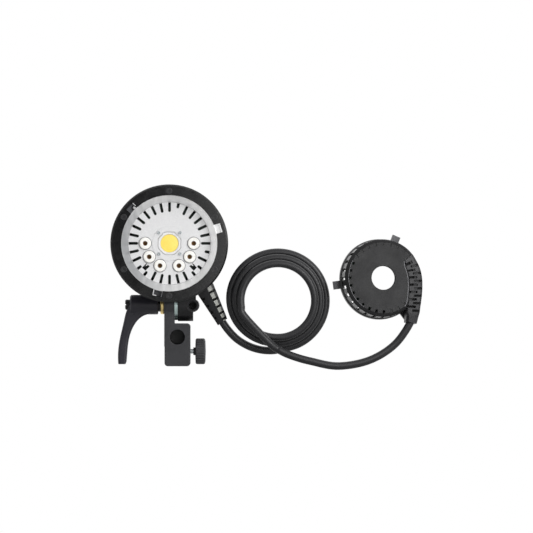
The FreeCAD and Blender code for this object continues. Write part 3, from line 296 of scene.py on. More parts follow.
def glazed():
    """Off-white ceramic under a thin glaze."""
    s = Shader("socket_ceramic")
    normal, rim = s.edges(0.3 * MM)
    body = s.mix(s.remap(s.noise(300.0, 3.0, 0.6), 0.3, 0.7), display(228, 226, 220), display(243, 242, 238))
    body = s.mix(s.math("MULTIPLY", rim, 0.35), body, display(206, 202, 194))
    s.feed(s.surface, Base_Color=body, Roughness=0.3, Coat_Weight=0.3, Coat_Roughness=0.15,
           Normal=s.bump(s.noise(500.0), 0.08, 0.1 * MM, normal))
    return s.material


def lock_floor():
    """Dull brushed plate; its edges are painted lighter and its raised cheek near-white, as painted highlights."""
    s = Shader("lock_floor_steel")
    normal, rim = s.edges(0.2 * MM)
    lines = s.noise(900.0, 3.0, 0.65, stretch=(1, 0.05, 1))
    body = s.mix(s.remap(lines, 0.3, 0.7), display(92, 93, 96), display(112, 113, 116))
    # painted highlights: lighter edges, and near-white in front of 6.5 mm
    body = s.mix(rim, body, display(160, 161, 164))
    body = s.mix(s.remap(s.along(1), 6.5 * MM, 5.0 * MM), body, display(236, 236, 236))
    s.feed(s.surface, Base_Color=body, Metallic=1.0, Roughness=s.remap(lines, 0.3, 0.7, 0.34, 0.5),
           Normal=s.bump(lines, 0.12, 0.05 * MM, normal))
    return s.material


def board_green():
    """Solder mask with tracks under it."""
    s = Shader("board_mask")
    tracks = s.feed(s.node("ShaderNodeTexBrick"), Vector=s.place, Scale=160.0).outputs["Fac"]
    body = s.mix(tracks, display(10, 30, 20), display(26, 58, 34))
    s.feed(s.surface, Base_Color=body, Roughness=0.4, Normal=s.bump(tracks, 0.2, 0.05 * MM))
    return s.material


def box_centre(node):
    low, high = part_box(node)
    return (low + high) / 2


def make_materials():
    """Every finish under its short name."""
    bore_r = mounts["stand_receiver"]["dims"]["r_mm"] * MM
    cross_bore_shade = (mounts["cross_receiver"]["pos_m"], bore_r + 0.05 * MM)
    return {
        # edge factors well above 2, on the casting, lever, cover and socket heads, paint edge highlights
        "ring": moulded("ring_paint", display(8, 8, 9), 0.17, depth=0.12, mottle=0.12, wear_and_highlight=2.2),
        # painted shade in the cross bore, which also darkens a disc on the block's back
        "casting": moulded("bracket_coat", display(42, 42, 45), 0.42, grain=1700.0, depth=0.4,
                           mottle=0.24, edge=0.7, wear_and_highlight=9.0, specular=0.4, bore_shade=cross_bore_shade),
        "lug": moulded("lug_paint", display(18, 18, 20), 0.38, wear_and_highlight=1.8, specular=0.35),
        "barrel": moulded("barrel_plastic", display(26, 26, 28), 0.45, grain=2000.0, depth=0.35,
                          specular=0.4),
        "lever": moulded("lever_nylon", display(38, 37, 43), 0.31, grain=2400.0, depth=0.22,
                         edge=0.6, wear_and_highlight=6.0, specular=0.32),
        "knob": moulded("knob_plastic", display(48, 48, 50), 0.5, grain=2000.0, depth=0.35,
                        wear_and_highlight=1.5, specular=0.4),
        "cover": moulded("plug_plastic", display(26, 26, 27), 0.42, grain=2200.0, depth=0.3,
                         edge=0.6, wear_and_highlight=4.2, specular=0.15),
        "shell": moulded("shell_plastic", display(30, 30, 31), 0.3, grain=2200.0, depth=0.2,
                         edge=0.4, wear_and_highlight=1.6, specular=0.6),
        # painted highlight: light grey for the raised lines on the plug's cover
        "highlight_bead": moulded("bead_painted_highlight", display(104, 104, 107), 0.35, grain=2200.0, wear_and_highlight=1.4),
        "rubber": moulded("boot_rubber", display(22, 22, 24), 0.34, grain=1500.0, edge=0.3,
                          wear_and_highlight=1.3, specular=0.35),
        "strap": moulded("strap_rubber", display(28, 28, 30), 0.38, grain=1500.0, edge=0.3,
                         wear_and_highlight=1.3, specular=0.22),
        # painted highlight: light grey for the head boot's facet
        "painted_highlight": moulded("boot_painted_highlight", display(122, 123, 116), 0.34, grain=1500.0, depth=0.3,
                         mottle=0.25, edge=0.3),
        # painted shade: near-black for the boots' cut faces and the head boot's flank; the plate clips and the
        # lock rod's seal use it too
        "groove": moulded("boot_groove", display(12, 12, 13), 0.6, grain=1500.0, mottle=0.3,
                          edge=0.1, specular=0.15),
        "jacket": moulded("cable_jacket", display(28, 28, 30), 0.4, grain=900.0, depth=0.18,
                          mottle=0.1, edge=0.2, specular=0.35),
        "slot_floor": moulded("slot_floor_paint", display(50, 50, 53), 0.4, mottle=0.12, specular=0.4),
        "socket_head": moulded("socket_head_oxide", display(20, 20, 22), 0.3, depth=0.1, wear_and_highlight=9.0),
        "oxide": moulded("black_oxide", display(26, 26, 29), 0.34, depth=0.1, wear_and_highlight=2.4, metallic=0.5),
        "steel": metal("zinc_steel", display(186, 192, 194), 0.3, brush=(1, 0.05, 1)),
        "bright": metal("polished_steel", display(236, 236, 236), 0.3, depth=0.06),
        "grip": metal("brushed_steel", display(132, 133, 136), 0.4, brush=(1, 0.05, 1)),
        "contact": metal("contact_brass", display(124, 96, 66), 0.4),
        "copper": metal("winding_copper", display(190, 104, 62), 0.3, brush=(1, 8, 1), scale=400.0,
                        depth=0.4),
        "disc": turned_metal("disc_steel", display(196, 214, 212), 0.3, 0, box_centre("friction_disc")),
        "brass": turned_metal("collar_brass", display(240, 214, 148), 0.28, 0, box_centre("brass_collar")),
        "aluminium": turned_metal("spun_aluminium", display(208, 208, 210), 0.36, 1, (0, 0, 0)),
        "cup": spun_cup(),
        "enamel": enamel("plate_enamel"),
        # painted light: the LED board and the frame round the lamp's disc glow faintly
        "surround": enamel("led_white_painted_glow", glow=0.1),
        "phosphor": phosphor(),
        "ceramic": glazed(),
        "lock_floor": lock_floor(),
        "board": board_green(),
    }


NODE_FINISH = {
    "mount_ring": "ring", "ring_screws": "socket_head", "slot_guide": "bright", "lock_plate": "lock_floor",
    "slot_leaf": "bright", "slot_pad": "slot_floor", "reflector_cup": "cup", "lamp_base_plate": "enamel",
    "plate_clips": "groove", "tube_sockets": "ceramic", "socket_contacts": "contact",
    "wiring_board": "board", "trigger_coil": "copper", "led_board": "surround",
    "led_emitter": "phosphor", "led_screws": "steel", "led_heat_sink": "aluminium",
    "head_barrel": "barrel", "rear_cover": "barrel", "cover_screws": "oxide", "fan_frame": "barrel",
    "fan_rotor": "barrel", "fan_screws": "steel", "lock_slider": "bright", "lock_spring": "steel",
    "tilt_lug": "lug", "clamp_nut": "steel", "umbrella_bush": "oxide", "lug_screws": "oxide",
    "bracket_block": "casting", "friction_disc": "disc", "thumb_screw": "steel",
    "pressure_pad": "contact", "thumb_knob": "knob", "clamp_stud": "oxide", "brass_collar": "brass",
    "lever_button": "oxide", "lever_spring": "steel", "clamp_lever": "lever", "plug_shell": "shell",
    "plug_cover": "cover", "plug_lugs": "oxide", "plug_pins": "brass", "plug_terminal_board": "board",
}


def dress(obj, material):
    obj.data.materials.clear()
    obj.data.materials.append(material)


# ---------------------------------------------------------------- mesh helpers
def mesh_piece(name, vertices, faces, body, material):
    mesh = bpy.data.meshes.new(name)
    mesh.from_pydata([tuple(v) for v in vertices], [], faces)
    mesh.update()
    mesh.shade_smooth()
    obj = bpy.data.objects.new(name, mesh)
    bpy.context.scene.collection.objects.link(obj)
    dress(obj, material)
    if body:
        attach(obj, body)
    return obj


def sharpen(piece, degrees):
    piece.data.set_sharp_from_angle(angle=math.radians(degrees))


def ring_faces(rings, sides):
    """Quads between successive rings of vertices, and a flat cap at each end."""
    faces = []
    for r in range(rings - 1):
        for k in range(sides):
            a, b = r * sides + k, r * sides + (k + 1) % sides
            faces.append((a, b, b + sides, a + sides))
    faces.append(tuple(reversed(range(sides))))
    faces.append(tuple(range((rings - 1) * sides, rings * sides)))
    return faces


def smooth_path(points, step):
    """Even points along a smooth curve through the given ones."""
    fine = []
    padded = [points[0] * 2 - points[1]] + points + [points[-1] * 2 - points[-2]]
    for p0, p1, p2, p3 in zip(padded, padded[1:], padded[2:], padded[3:]):
        count = max(int((p2 - p1).length / (0.25 * step)), 2)
        for k in range(count):
            t = k / count
            fine.append(0.5 * (2 * p1 + (p2 - p0) * t + (2 * p0 - 5 * p1 + 4 * p2 - p3) * t * t
                               + (3 * p1 - p0 - 3 * p2 + p3) * t ** 3))
    fine.append(points[-1])
    lengths = [0.0]
    for a, b in zip(fine, fine[1:]):
        lengths.append(lengths[-1] + (b - a).length)
    count = int(lengths[-1] / step)
    even, k = [], 0
    for n in range(count + 1):
        want = lengths[-1] * n / count
        while lengths[k + 1] < want and k < len(lengths) - 2:
            k += 1
        share = (want - lengths[k]) / max(lengths[k + 1] - lengths[k], 1e-9)
        even.append(fine[k].lerp(fine[k + 1], share))
    return even


def tube(path, radius, sides):
    """Rings of a tube along a path, without twist."""
    vertices = []
    side = Vector((0, 1, 0))
    for k, point in enumerate(path):
        along = (path[min(k + 1, len(path) - 1)] - path[max(k - 1, 0)]).normalized()
        side = (side - along * side.dot(along)).normalized()
        up = along.cross(side)
        for n in range(sides):
            a = 2 * math.pi * n / sides
            vertices.append(point + (side * math.cos(a) + up * math.sin(a)) * radius)
    return vertices


def wire(name, path, radius, body, material, sides=10):
    return mesh_piece(name, tube(path, radius, sides), ring_faces(len(path), sides), body, material)


def band(name, inner, outer, front, back, place, body, material, start=0.0, end=360.0, steps=72):
    """A flat ring or ring sector facing the viewer: radii, depths and angles, set out by place."""
    vertices, faces = [], []
    for k in range(steps + 1):
        a = math.radians(start + (end - start) * k / steps)
        for radius, y in ((inner, front), (outer, front), (outer, back), (inner, back)):
            vertices.append(place(radius * math.cos(a), y, radius * math.sin(a)))
    for k in range(steps):
        for n in range(4):
            a, b = 4 * k + n, 4 * k + (n + 1) % 4
            faces.append((a, b, b + 4, a + 4))
    if abs(end - start) < 360:
        faces += [(3, 2, 1, 0), tuple(4 * steps + n for n in range(4))]
    piece = mesh_piece(name, vertices, faces, body, material)
    sharpen(piece, 30)
    return piece


def around(x, z):
    """Sets a band out round a line on the head that is given in millimetres."""
    return lambda across, y, up: Vector((x + across, y, z + up)) * MM


def prism(name, outline, front, back, angle, material):
    """A small plate on the head, from its outline along and across the mount's radius at an angle."""
    spots = [(r * math.cos(angle) - t * math.sin(angle), r * math.sin(angle) + t * math.cos(angle))
             for r, t in outline]
    count = len(spots)
    vertices = [Vector((x, y, z)) * MM for y in (front, back) for x, z in spots]
    faces = [tuple(range(count)), tuple(reversed(range(count, 2 * count)))]
    faces += [(k, k + count, (k + 1) % count + count, (k + 1) % count) for k in range(count)]
    piece = mesh_piece(name, vertices, faces, "head", material)
    sharpen(piece, 30)
    soften = piece.modifiers.new("soften", "BEVEL")
    soften.width, soften.segments = 0.12 * MM, 2


# ---------------------------------------------------------------- places of the cable and the plug
CABLE_R = 4.1 * MM
CABLE_SIDES = 28
CABLE_STEP = 2.0 * MM

# the coil has three loops, each smaller and nearer the viewer than the one before it
COIL_R, COIL_STEP_R, COIL_STEP_Y = 51.3 * MM, 6.0 * MM, 8.5 * MM
COIL_TURNS = 3.0
# the cable comes to it from further out, at this angle, and joins it over this many degrees
LEAD_R, LEAD_ANGLE, LEAD_SPAN = 62.6 * MM, 204.4, 75.0
coil_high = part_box("cable_coil")[1]
COIL_X, COIL_Z = coil_high.x - COIL_R - CABLE_R, coil_high.z - COIL_R - CABLE_R

# the head boot's axis starts in the barrel's wall and ends at the middle of the boot's tip
BOOT_LEAN = math.radians(62.4)
BOOT_LENGTH = 53.9
BOOT_TIP_R = 6.25 * MM
BOOT_ALONG = Vector((math.cos(BOOT_LEAN), 0, -math.sin(BOOT_LEAN)))
boot_low, boot_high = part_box("head_boot")
boot_tip = Vector((boot_high.x - BOOT_TIP_R * math.sin(BOOT_LEAN), (boot_low.y + boot_high.y) / 2,
                   boot_low.z + BOOT_TIP_R * math.cos(BOOT_LEAN)))
ENTRY = boot_tip - BOOT_ALONG * BOOT_LENGTH * MM

# the cable bends about this point when the plug moves
FLEX = Vector(joints["cable_flex"]["pos_m"])

# the plug's own y runs from its cover to its pins, and its lugs lie in a plane behind its middle
LUG_PLANE = 9.5 * MM
lug_axis = Vector(mounts["plug_lugs"]["axis"])
PLUG_CENTRE = Vector(mounts["plug_lugs"]["pos_m"]) - lug_axis * LUG_PLANE
PLUG_TURN = (Matrix.Rotation(math.atan2(-lug_axis.x, lug_axis.y), 4, "Z")
             @ Matrix.Rotation(math.asin(lug_axis.z), 4, "X"))
# in the plug's own millimetres: the cover's face and radius, the boot's faces, and where the cable meets it
PLUG_FRONT, PLUG_COVER_R = -12.5, 40.0
PLUG_BOOT_FRONT, PLUG_BOOT_BACK = -13.0, 2.5
PLUG_BOOT_MID = (PLUG_BOOT_FRONT + PLUG_BOOT_BACK) / 2
PLUG_CABLE_X, PLUG_CABLE_Z = 30.0, -47.4


def on_plug(x, y, z):
    """A point given in the plug's own millimetres."""
    return PLUG_CENTRE + (PLUG_TURN @ Vector((x, y, z))) * MM


def near_flex(*offsets):
    """Points given in millimetres from the cable's bend."""
    return [FLEX + Vector(offset) * MM for offset in offsets]


# ---------------------------------------------------------------- cable
def coil_radius(turn):
    """The radius shrinks by one step over the last third of each of the first two turns."""
    whole = math.floor(turn)
    ease = min(max((turn - whole - 0.7) / 0.3, 0.0), 1.0)
    ease = ease * ease * (3 - 2 * ease)
    return COIL_R - COIL_STEP_R * min(max(whole + ease, 0.0), 2.0)


def coil_points():
    """Points from inside the head boot to the end of the last loop."""
    points = [ENTRY + BOOT_ALONG * along * MM for along in (-3.0, 15.0, 35.0, BOOT_LENGTH + 0.6)]
    step = 15.0
    for k in range(1, int(COIL_TURNS * 360 / step) + 1):
        angle = LEAD_ANGLE + step * k
        lead = max(0.0, 1.0 - step * k / LEAD_SPAN)
        radius = coil_radius((angle - 270.0) / 360.0) + (LEAD_R - COIL_R) * lead
        a = math.radians(angle)
        points.append(Vector((COIL_X + radius * math.cos(a), ENTRY.y - COIL_STEP_Y * step * k / 360.0,
                              COIL_Z + radius * math.sin(a))))
    return points


def cable():
    """The whole cable as one line, made as two tubes that meet ring to ring where it leaves the coil."""
    crossing = near_flex((-44.0, 1.2, 19.6), (-31.9, 0.4, 11.0), (-18.5, 0.0, 5.2))
    tail = near_flex((29.1, 1.0, -5.1), (61.9, 3.0, 0.9), (88.7, 5.0, 17.3))
    tail += [on_plug(PLUG_CABLE_X + shift, PLUG_BOOT_MID, PLUG_CABLE_Z + rise)
             for shift, rise in ((0.0, 0.4), (0.65, 11.4))]
    path = smooth_path(coil_points() + crossing + [FLEX] + tail, CABLE_STEP)
    rings = tube(path, CABLE_R, CABLE_SIDES)
    cut = next(k for k, p in enumerate(path) if (p - crossing[1]).length < 1.5 * CABLE_STEP)
    coil = mesh_piece("cable_loops", rings[:(cut + 1) * CABLE_SIDES], ring_faces(cut + 1, CABLE_SIDES),
                      "head", finish["jacket"])
    lead = mesh_piece("cable_lead", rings[cut * CABLE_SIDES:], ring_faces(len(path) - cut, CABLE_SIDES),
                      None, finish["jacket"])
    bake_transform(lead)
    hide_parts("cable_coil")
    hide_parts("cable_tail")


# ---------------------------------------------------------------- boots
def lofted(name, sections, cut, body, material, highlight_columns=(), shade_columns=()):
    """A rubber skin through sections of equal length, capped at both ends. Faces at cut points and in shade
    columns get the near-black finish as painted shade, and the rest of the highlight columns a light finish as a
    painted highlight."""
    sides = len(sections[0])
    vertices = [point for section in sections for point in section]
    piece = mesh_piece(name, vertices, ring_faces(len(sections), sides), body, material)
    piece.data.materials.append(finish["groove"])
    piece.data.materials.append(finish["painted_highlight"])
    flags = [flag for section in cut for flag in section]
    for face in piece.data.polygons:
        if len(face.vertices) != 4:
            continue
        # painted shade on cut faces and shade columns, painted highlight on the highlight columns
        if any(flags[v] for v in face.vertices) or all(v % sides in shade_columns for v in face.vertices):
            face.material_index = 1
        elif all(v % sides in highlight_columns for v in face.vertices):
            face.material_index = 2
    sharpen(piece, 12)
    return piece


def cut_edges(cuts, half, wall):
    """Places just inside and just outside both edges of each cut, so that its walls are steep."""
    return {cut + edge + shift for cut in cuts for edge in (-half, half) for shift in (-wall, wall)}


def cut_depth(place, cuts, half, depth):
    return depth if any(abs(place - cut) < half for cut in cuts) else 0.0


# section of the head boot in shares of its radius: across, towards the viewer, and whether the right and
# the left cuts lower the point. Its facet columns get a painted highlight, and the flank beside them painted
# shade.
HEAD_SECTION = [
    (0.20, 0.99, 0, 0), (0.23, 0.985, 1, 0), (0.38, 0.93, 1, 0), (0.56, 0.86, 1, 0), (0.69, 0.81, 1, 0),
    (0.90, 0.52, 1, 0), (1.00, 0.16, 0, 0), (1.00, -0.30, 0, 0), (0.72, -0.80, 0, 0), (0.25, -0.98, 0, 0),
    (-0.25, -0.98, 0, 0), (-0.72, -0.80, 0, 0), (-1.00, -0.30, 0, 0), (-1.00, 0.16, 0, 0),
    (-0.92, 0.38, 0, 0), (-0.88, 0.44, 0, 1), (-0.70, 0.66, 0, 1), (-0.60, 0.76, 0, 1), (-0.56, 0.79, 0, 0),
    (-0.38, 0.88, 0, 0), (-0.06, 0.955, 0, 0)]
HEAD_FACET, HEAD_FLANK = (1, 2, 3, 4), (5, 6, 7)

# the head boot's radius at its root and its taper, and its cuts, in millimetres along its axis
HEAD_R, HEAD_TAPER = 11.4, 0.1
HEAD_CUTS = [10.8, 19.6, 28.3, 36.6, 44.2, 51.0]
HEAD_CUTS_LEFT = [(a + b) / 2 - 1.2 for a, b in zip(HEAD_CUTS, HEAD_CUTS[1:])]
HEAD_CUT_HALF, HEAD_CUT_WALL = 1.15, 0.06
HEAD_CUT_DEEP, HEAD_CUT_SHALLOW = 3.4, 1.9
HEAD_SKIN = 0.6
# how far a boot's end stands off the cable
BOOT_PLAY = 0.2 * MM


def head_places(start, end, step=2.0, apart=0.5):
    """Places of the head boot's sections: the edges of its cuts, its ends, and even ones between."""
    places = {start, end} | cut_edges(HEAD_CUTS + HEAD_CUTS_LEFT, HEAD_CUT_HALF, HEAD_CUT_WALL)
    place = start
    while place < end:
        if all(abs(place - other) > apart for other in places):
            places.add(place)
        place += step
    return sorted(places)


def head_boot():
    """Tapered boot on the barrel: deep cuts on its right bevel, small ones half a pitch off on its left."""
    right = Vector((-BOOT_ALONG.z, 0, BOOT_ALONG.x))
    near = Vector((0, -1, 0))
    root, end = 3.0, BOOT_LENGTH - 0.3
    slant_from, slant = 48.0, 0.9
    sections, cut = [], []
    for place in head_places(root, end):
        radius = HEAD_R - HEAD_TAPER * place
        deepest = radius - (CABLE_R / MM + HEAD_SKIN)
        deep = cut_depth(place, HEAD_CUTS, HEAD_CUT_HALF, HEAD_CUT_DEEP)
        shallow = cut_depth(place, HEAD_CUTS_LEFT, HEAD_CUT_HALF, HEAD_CUT_SHALLOW)
        section = []
        for across, out, in_right, in_left in HEAD_SECTION:
            reach = radius - min(deep * in_right + shallow * in_left, deepest)
            skew = slant * across * max(place - slant_from, 0.0) / (end - slant_from)
            section.append(ENTRY + (BOOT_ALONG * (place - skew) + (right * across + near * out) * reach) * MM)
        sections.append(section)
        cut.append([bool(deep * in_right or shallow * in_left) for _, _, in_right, in_left in HEAD_SECTION])
    # the tip closes on the cable
    for inset in (0.1, 2.5):
        centre = ENTRY + BOOT_ALONG * ((end - inset) * MM)
        sections.append([centre + (point - centre).normalized() * (CABLE_R + BOOT_PLAY)
                         for point in sections[-1]])
        cut.append([False] * len(HEAD_SECTION))
    boot = lofted("rubber_boot_head", sections, cut, "head", finish["rubber"],
                  highlight_columns=HEAD_FACET, shade_columns=HEAD_FLANK)
    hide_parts("head_boot")


# left and right ends of lines across the plug boot, in the plug's millimetres, half a pitch apart
PLUG_BOOT_LINES = [
    ((24.0, 18.6), (32.6, 25.2)), ((24.2, 13.4), (36.4, 18.8)), ((24.9, 10.4), (38.8, 14.2)),
    ((26.0, 7.3), (40.6, 9.8)), ((27.0, 4.2), (41.7, 5.4)), ((27.6, 0.4), (42.4, 0.9)),
    ((27.9, -3.5), (42.7, -3.5)), ((28.0, -7.3), (42.7, -7.4)), ((27.8, -11.2), (42.6, -11.3)),
    ((27.5, -15.0), (42.3, -15.1)), ((27.2, -19.0), (41.9, -19.2)), ((26.9, -22.7), (41.3, -23.0)),
    ((26.5, -26.8), (40.7, -27.2)), ((26.0, -30.4), (40.0, -31.0)), ((25.6, -34.6), (39.4, -35.4)),
    ((25.2, -39.0), (38.5, -40.0)), ((24.6, -46.6), (36.4, -48.4))]

# places along the plug boot count those lines: cuts from its left and its right edge take turns
PLUG_CUTS_LEFT = [1.0 + 2 * k for k in range(7)]
PLUG_CUTS_RIGHT = [2.0 + 2 * k for k in range(7)]
PLUG_CUT_HALF, PLUG_CUT_WALL = 0.29, 0.02
# the edges widen into the sleeve's bevels from the first place to the second, and then its face falls back
SLEEVE_FROM, SLEEVE_TO = 14.4, 15.2
TIP_FROM, TIP_TO = 14.7, 16.0
# how deep the cuts are, in millimetres
PLUG_CUT_LEFT, PLUG_CUT_RIGHT = 3.6, 3.2


def plug_outline(place, width):
    """A section of the plug boot: along the width from its left edge, depth, and how far a cut lowers it."""
    sleeve = min(max((place - SLEEVE_FROM) / (SLEEVE_TO - SLEEVE_FROM), 0.0), 1.0)
    tip = min(max((place - TIP_FROM) / (TIP_TO - TIP_FROM), 0.0), 1.0)
    left = cut_depth(place, PLUG_CUTS_LEFT, PLUG_CUT_HALF, PLUG_CUT_LEFT)
    right = cut_depth(place, PLUG_CUTS_RIGHT, PLUG_CUT_HALF, PLUG_CUT_RIGHT)
    flat_left, side_left = 0.5 + 1.6 * sleeve, 0.7 + 2.6 * sleeve
    flat_right, side_right = 2.3 + 1.9 * sleeve, 1.8 + 2.0 * sleeve
    rise = PLUG_BOOT_FRONT + 0.9 * tip
    back = PLUG_BOOT_BACK - 0.1
    left_edge = [(0.0, back - 1.0, 0), (0.0, rise + 3.4, 0),
                 (0.0, rise + side_left, max(left - side_left, 0)), (flat_left, rise, left)]
    face = [(share * width, rise, low) for share, low in (
        (0.30, left), (0.36, left), (0.40, left + right), (0.57, left + right), (0.61, right), (0.65, right))]
    right_edge = [(width - flat_right, rise, right),
                  (width - 0.2, rise + side_right, max(right - side_right, 0)),
                  (width, rise + side_right + 0.3, 0), (width, back - 1.0, 0)]
    return left_edge + face + right_edge + [(width - 1.0, back, 0), (1.0, back, 0)]


def plug_boot():
    """Flat boot round the plug's rim: cuts from its left and right edges by turns, then a bevelled sleeve."""
    last = len(PLUG_BOOT_LINES) - 1
    places = {0.0, float(last), TIP_FROM, SLEEVE_TO}
    places |= cut_edges(PLUG_CUTS_LEFT + PLUG_CUTS_RIGHT, PLUG_CUT_HALF, PLUG_CUT_WALL)
    sections, cut = [], []
    for place in sorted(places):
        k = min(int(place), last - 1)
        start, end = [Vector(PLUG_BOOT_LINES[k][n]).lerp(Vector(PLUG_BOOT_LINES[k + 1][n]), place - k)
                      for n in (0, 1)]
        width = (end - start).length
        line = (end - start) / width
        outline = plug_outline(place, width)
        sections.append([on_plug(start.x + line.x * along, depth + low, start.y + line.y * along)
                         for along, depth, low in outline])
        cut.append([bool(low) for _, _, low in outline])
    # the sleeve closes on the cable
    centre = on_plug(PLUG_CABLE_X, PLUG_BOOT_MID, PLUG_CABLE_Z)
    for lift in (0.0, 3.0):
        middle = centre + (PLUG_TURN @ Vector((0.0, 0.0, lift))) * MM
        sections.append([middle + (point - centre).normalized() * (CABLE_R + BOOT_PLAY)
                         for point in sections[-1]])
        cut.append([False] * len(sections[-1]))
    boot = lofted("rubber_boot_plug", sections, cut, "plug", finish["strap"])
    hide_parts("plug_boot")


# ---------------------------------------------------------------- details the CAD leaves out
def cover_web():
    """A ledge inside the plug's cover that closes its upper and right-hand notches part way down."""
    band("plug_cover_ledge", PLUG_COVER_R - 6.4, PLUG_COVER_R - 1.4, PLUG_FRONT + 0.8, PLUG_FRONT + 1.5,
         on_plug, "plug", finish["cover"], start=-86.0, end=148.0)


def cover_beads():
    """Fine raised lines on the plug's cover in light grey, as painted highlights: along its cut edge by the boot,
    and inside its left edge.
    """
    by_boot = [(left[0] - 1.1, left[1]) for left, _ in PLUG_BOOT_LINES[1:11]]
    cut = [(23.0, 17.6)] + by_boot + [(25.5, -23.0), (24.3, -27.5), (22.4, -30.4)]
    arc_r = PLUG_COVER_R - 2.4
    angles = [math.radians(a) for a in range(150, 236, 5)]
    left = [(arc_r * math.cos(a), arc_r * math.sin(a)) for a in angles]
    for name, line, radius in (("cover_bead_cut", cut, 0.34), ("cover_bead_left", left, 0.22)):
        path = smooth_path([on_plug(x, PLUG_FRONT, z) for x, z in line], 0.8 * MM)
        wire(name, path, radius * MM, "plug", finish["highlight_bead"])


def socket_shadow_rings():
    """A thin grey ring in the gap round each ceramic socket, as painted shade for the shadow in that gap."""
    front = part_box("lamp_base_plate")[0].y / MM
    pairs = [mounts["tube_sockets_" + row] for row in ("upper", "middle", "lower")]
    left = [(-pair["dims"]["spacing_x_mm"] / 2, pair["pos_m"][2] / MM) for pair in pairs]
    centres = left + [(-x, z) for x, z in reversed(left)]
    for index, centre in enumerate(centres):
        band("socket_rim_%d" % index, 6.4, 7.0, front + 0.1, front + 0.8, around(*centre), "head",
             finish["grip"], steps=40)


def led_surround():
    """A white eight-sided frame that fills the opening round the lamp's disc, level with the plate. Its finish
    glows faintly as painted light.
    """
    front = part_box("lamp_base_plate")[0].y / MM + 0.7
    back = front + 1.2
    inner, to_flat, to_corner, chamfer = 9.65, 11.95, 12.6, 0.3
    vertices, faces, sides = [], [], 64
    for k in range(sides):
        a = 2 * math.pi * k / sides
        flat = math.cos((a + math.pi / 8) % (math.pi / 4) - math.pi / 8)
        outer = min(to_flat / flat, to_corner)
        for radius, y in ((inner, back), (inner, front + 0.35), (inner + chamfer, front),
                          (outer - chamfer, front), (outer, front + chamfer), (outer, back)):
            vertices.append(Vector((radius * math.cos(a), y, radius * math.sin(a))) * MM)
    for k in range(sides):
        for n in range(6):
            a, b = 6 * k + n, 6 * k + (n + 1) % 6
            faces.append((a, b, (b + 6) % (6 * sides), (a + 6) % (6 * sides)))
    piece = mesh_piece("led_surround", vertices, faces, "head", finish["surround"])
    sharpen(piece, 30)


def slot_details():
    """The rail up the right side of the bottom lug slot, and the seal round the lock's rod."""
    pad = box_centre("slot_pad")
    slot_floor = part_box("slot_pad")[0].y / MM
    prism("slot_rail", [(51.7, 4.3), (51.7, 4.95), (57.4, 4.95), (57.4, 3.6), (56.9, 3.6), (56.9, 4.3)],
          0.7, slot_floor, math.atan2(pad.z, pad.x), finish["grip"])
    rod = box_centre("lock_spring") / MM
    band("lock_rod_seal", 1.75, 2.6, 6.8, 7.5, around(rod.x, rod.z), "head", finish["groove"],
         steps=32)


def clip_glints():
    """A small white piece in each clip window, as a painted glint on the clip's hook."""
    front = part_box("lamp_base_plate")[0].y / MM
    for index, (angle, shift) in enumerate(((-45.0, 0.8), (-135.0, -0.8))):
        half_outline = [(32.0, 0.8), (34.0, 0.5), (34.7, 0.3)]
        outline = [(r, shift + half) for r, half in half_outline]
        outline += [(r, shift - half) for r, half in reversed(half_outline)]
        prism("clip_tongue_%d" % index, outline, front + 0.6, front + 2.1, math.radians(angle),
              finish["enamel"])


def spring(node, wire_r, turns, body, joint_name):
    """A wound spring in its CAD node's space."""
    joint = joints[joint_name]
    axis = [abs(part) for part in joint["axis"]].index(1)
    fixed = joint["deforming_nodes"][0]["fixed_end_%s_m" % "xyz"[axis]]
    low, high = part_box(node)
    middle = (low + high) / 2
    radius = min(high[k] - low[k] for k in range(3) if k != axis) / 2 - wire_r
    start, length = low[axis] + wire_r, high[axis] - low[axis] - 2 * wire_r
    path, steps = [], 24
    for k in range(int(turns * steps) + 1):
        a = 2 * math.pi * k / steps
        along = start + length * k / (turns * steps)
        if axis == 0:
            path.append(Vector((along, middle.y + radius * math.sin(a), middle.z - radius * math.cos(a))))
        else:
            path.append(Vector((middle.x + radius * math.cos(a), along, middle.z - radius * math.sin(a))))
    piece = wire(node + "_wire", path, wire_r, body, finish["steel"])
    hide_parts(node)
    direction, anchor = [0, 0, 0], list(middle)
    direction[axis], anchor[axis] = 1, fixed
    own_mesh(piece)


finish = make_materials()
for node, key in NODE_FINISH.items():
    dress(nodes[node], finish[key])
cable()
head_boot()
plug_boot()
cover_web()
socket_shadow_rings()
led_surround()
slot_details()
clip_glints()
cover_beads()
spring("lever_spring", 0.5 * MM, 4.5, "clamp", "lever_pull")
spring("lock_spring", 0.35 * MM, 7.0, "head", "lock_slide")


# ---------------------------------------------------------------- stage
# the head hangs from its stand, so the floor leaves room for the cable to swing
FLOOR_DROP = 16 * MM
FLOOR_SIZE = 12
BACKDROP_FROM = 160 * MM
# brightness of the room: lowest, highest, then its factors in front of the object and behind it
ROOM_LOW, ROOM_HIGH, ROOM_DIP, ROOM_BACK = 0.45, 1.1, 0.12, 1.7
# name, place, aim, size and power of each light, in metres and watts
LIGHTS = (
    ("key", (0.485, -0.9, 0.05), (0.485, 0, 0.05), (0.9, 0.9), 4.4),
    ("side", (0.80, -1.0, 0.32), (0.06, 0, -0.07), (0.5, 0.5), 8.0),
    ("rim", (1.3, -0.25, -0.05), (0.1, 0, -0.05), (0.4, 1.0), 3.4),
)
# the camera faces +y, square to the mount ring, aimed a little above the object's middle
CAMERA_DISTANCE = 6.0
CAMERA_SHIFT = Vector((0.18, 0, 11.26)) * MM
VIEW_WIDTH = 565 * MM
SENSOR_MM = 36


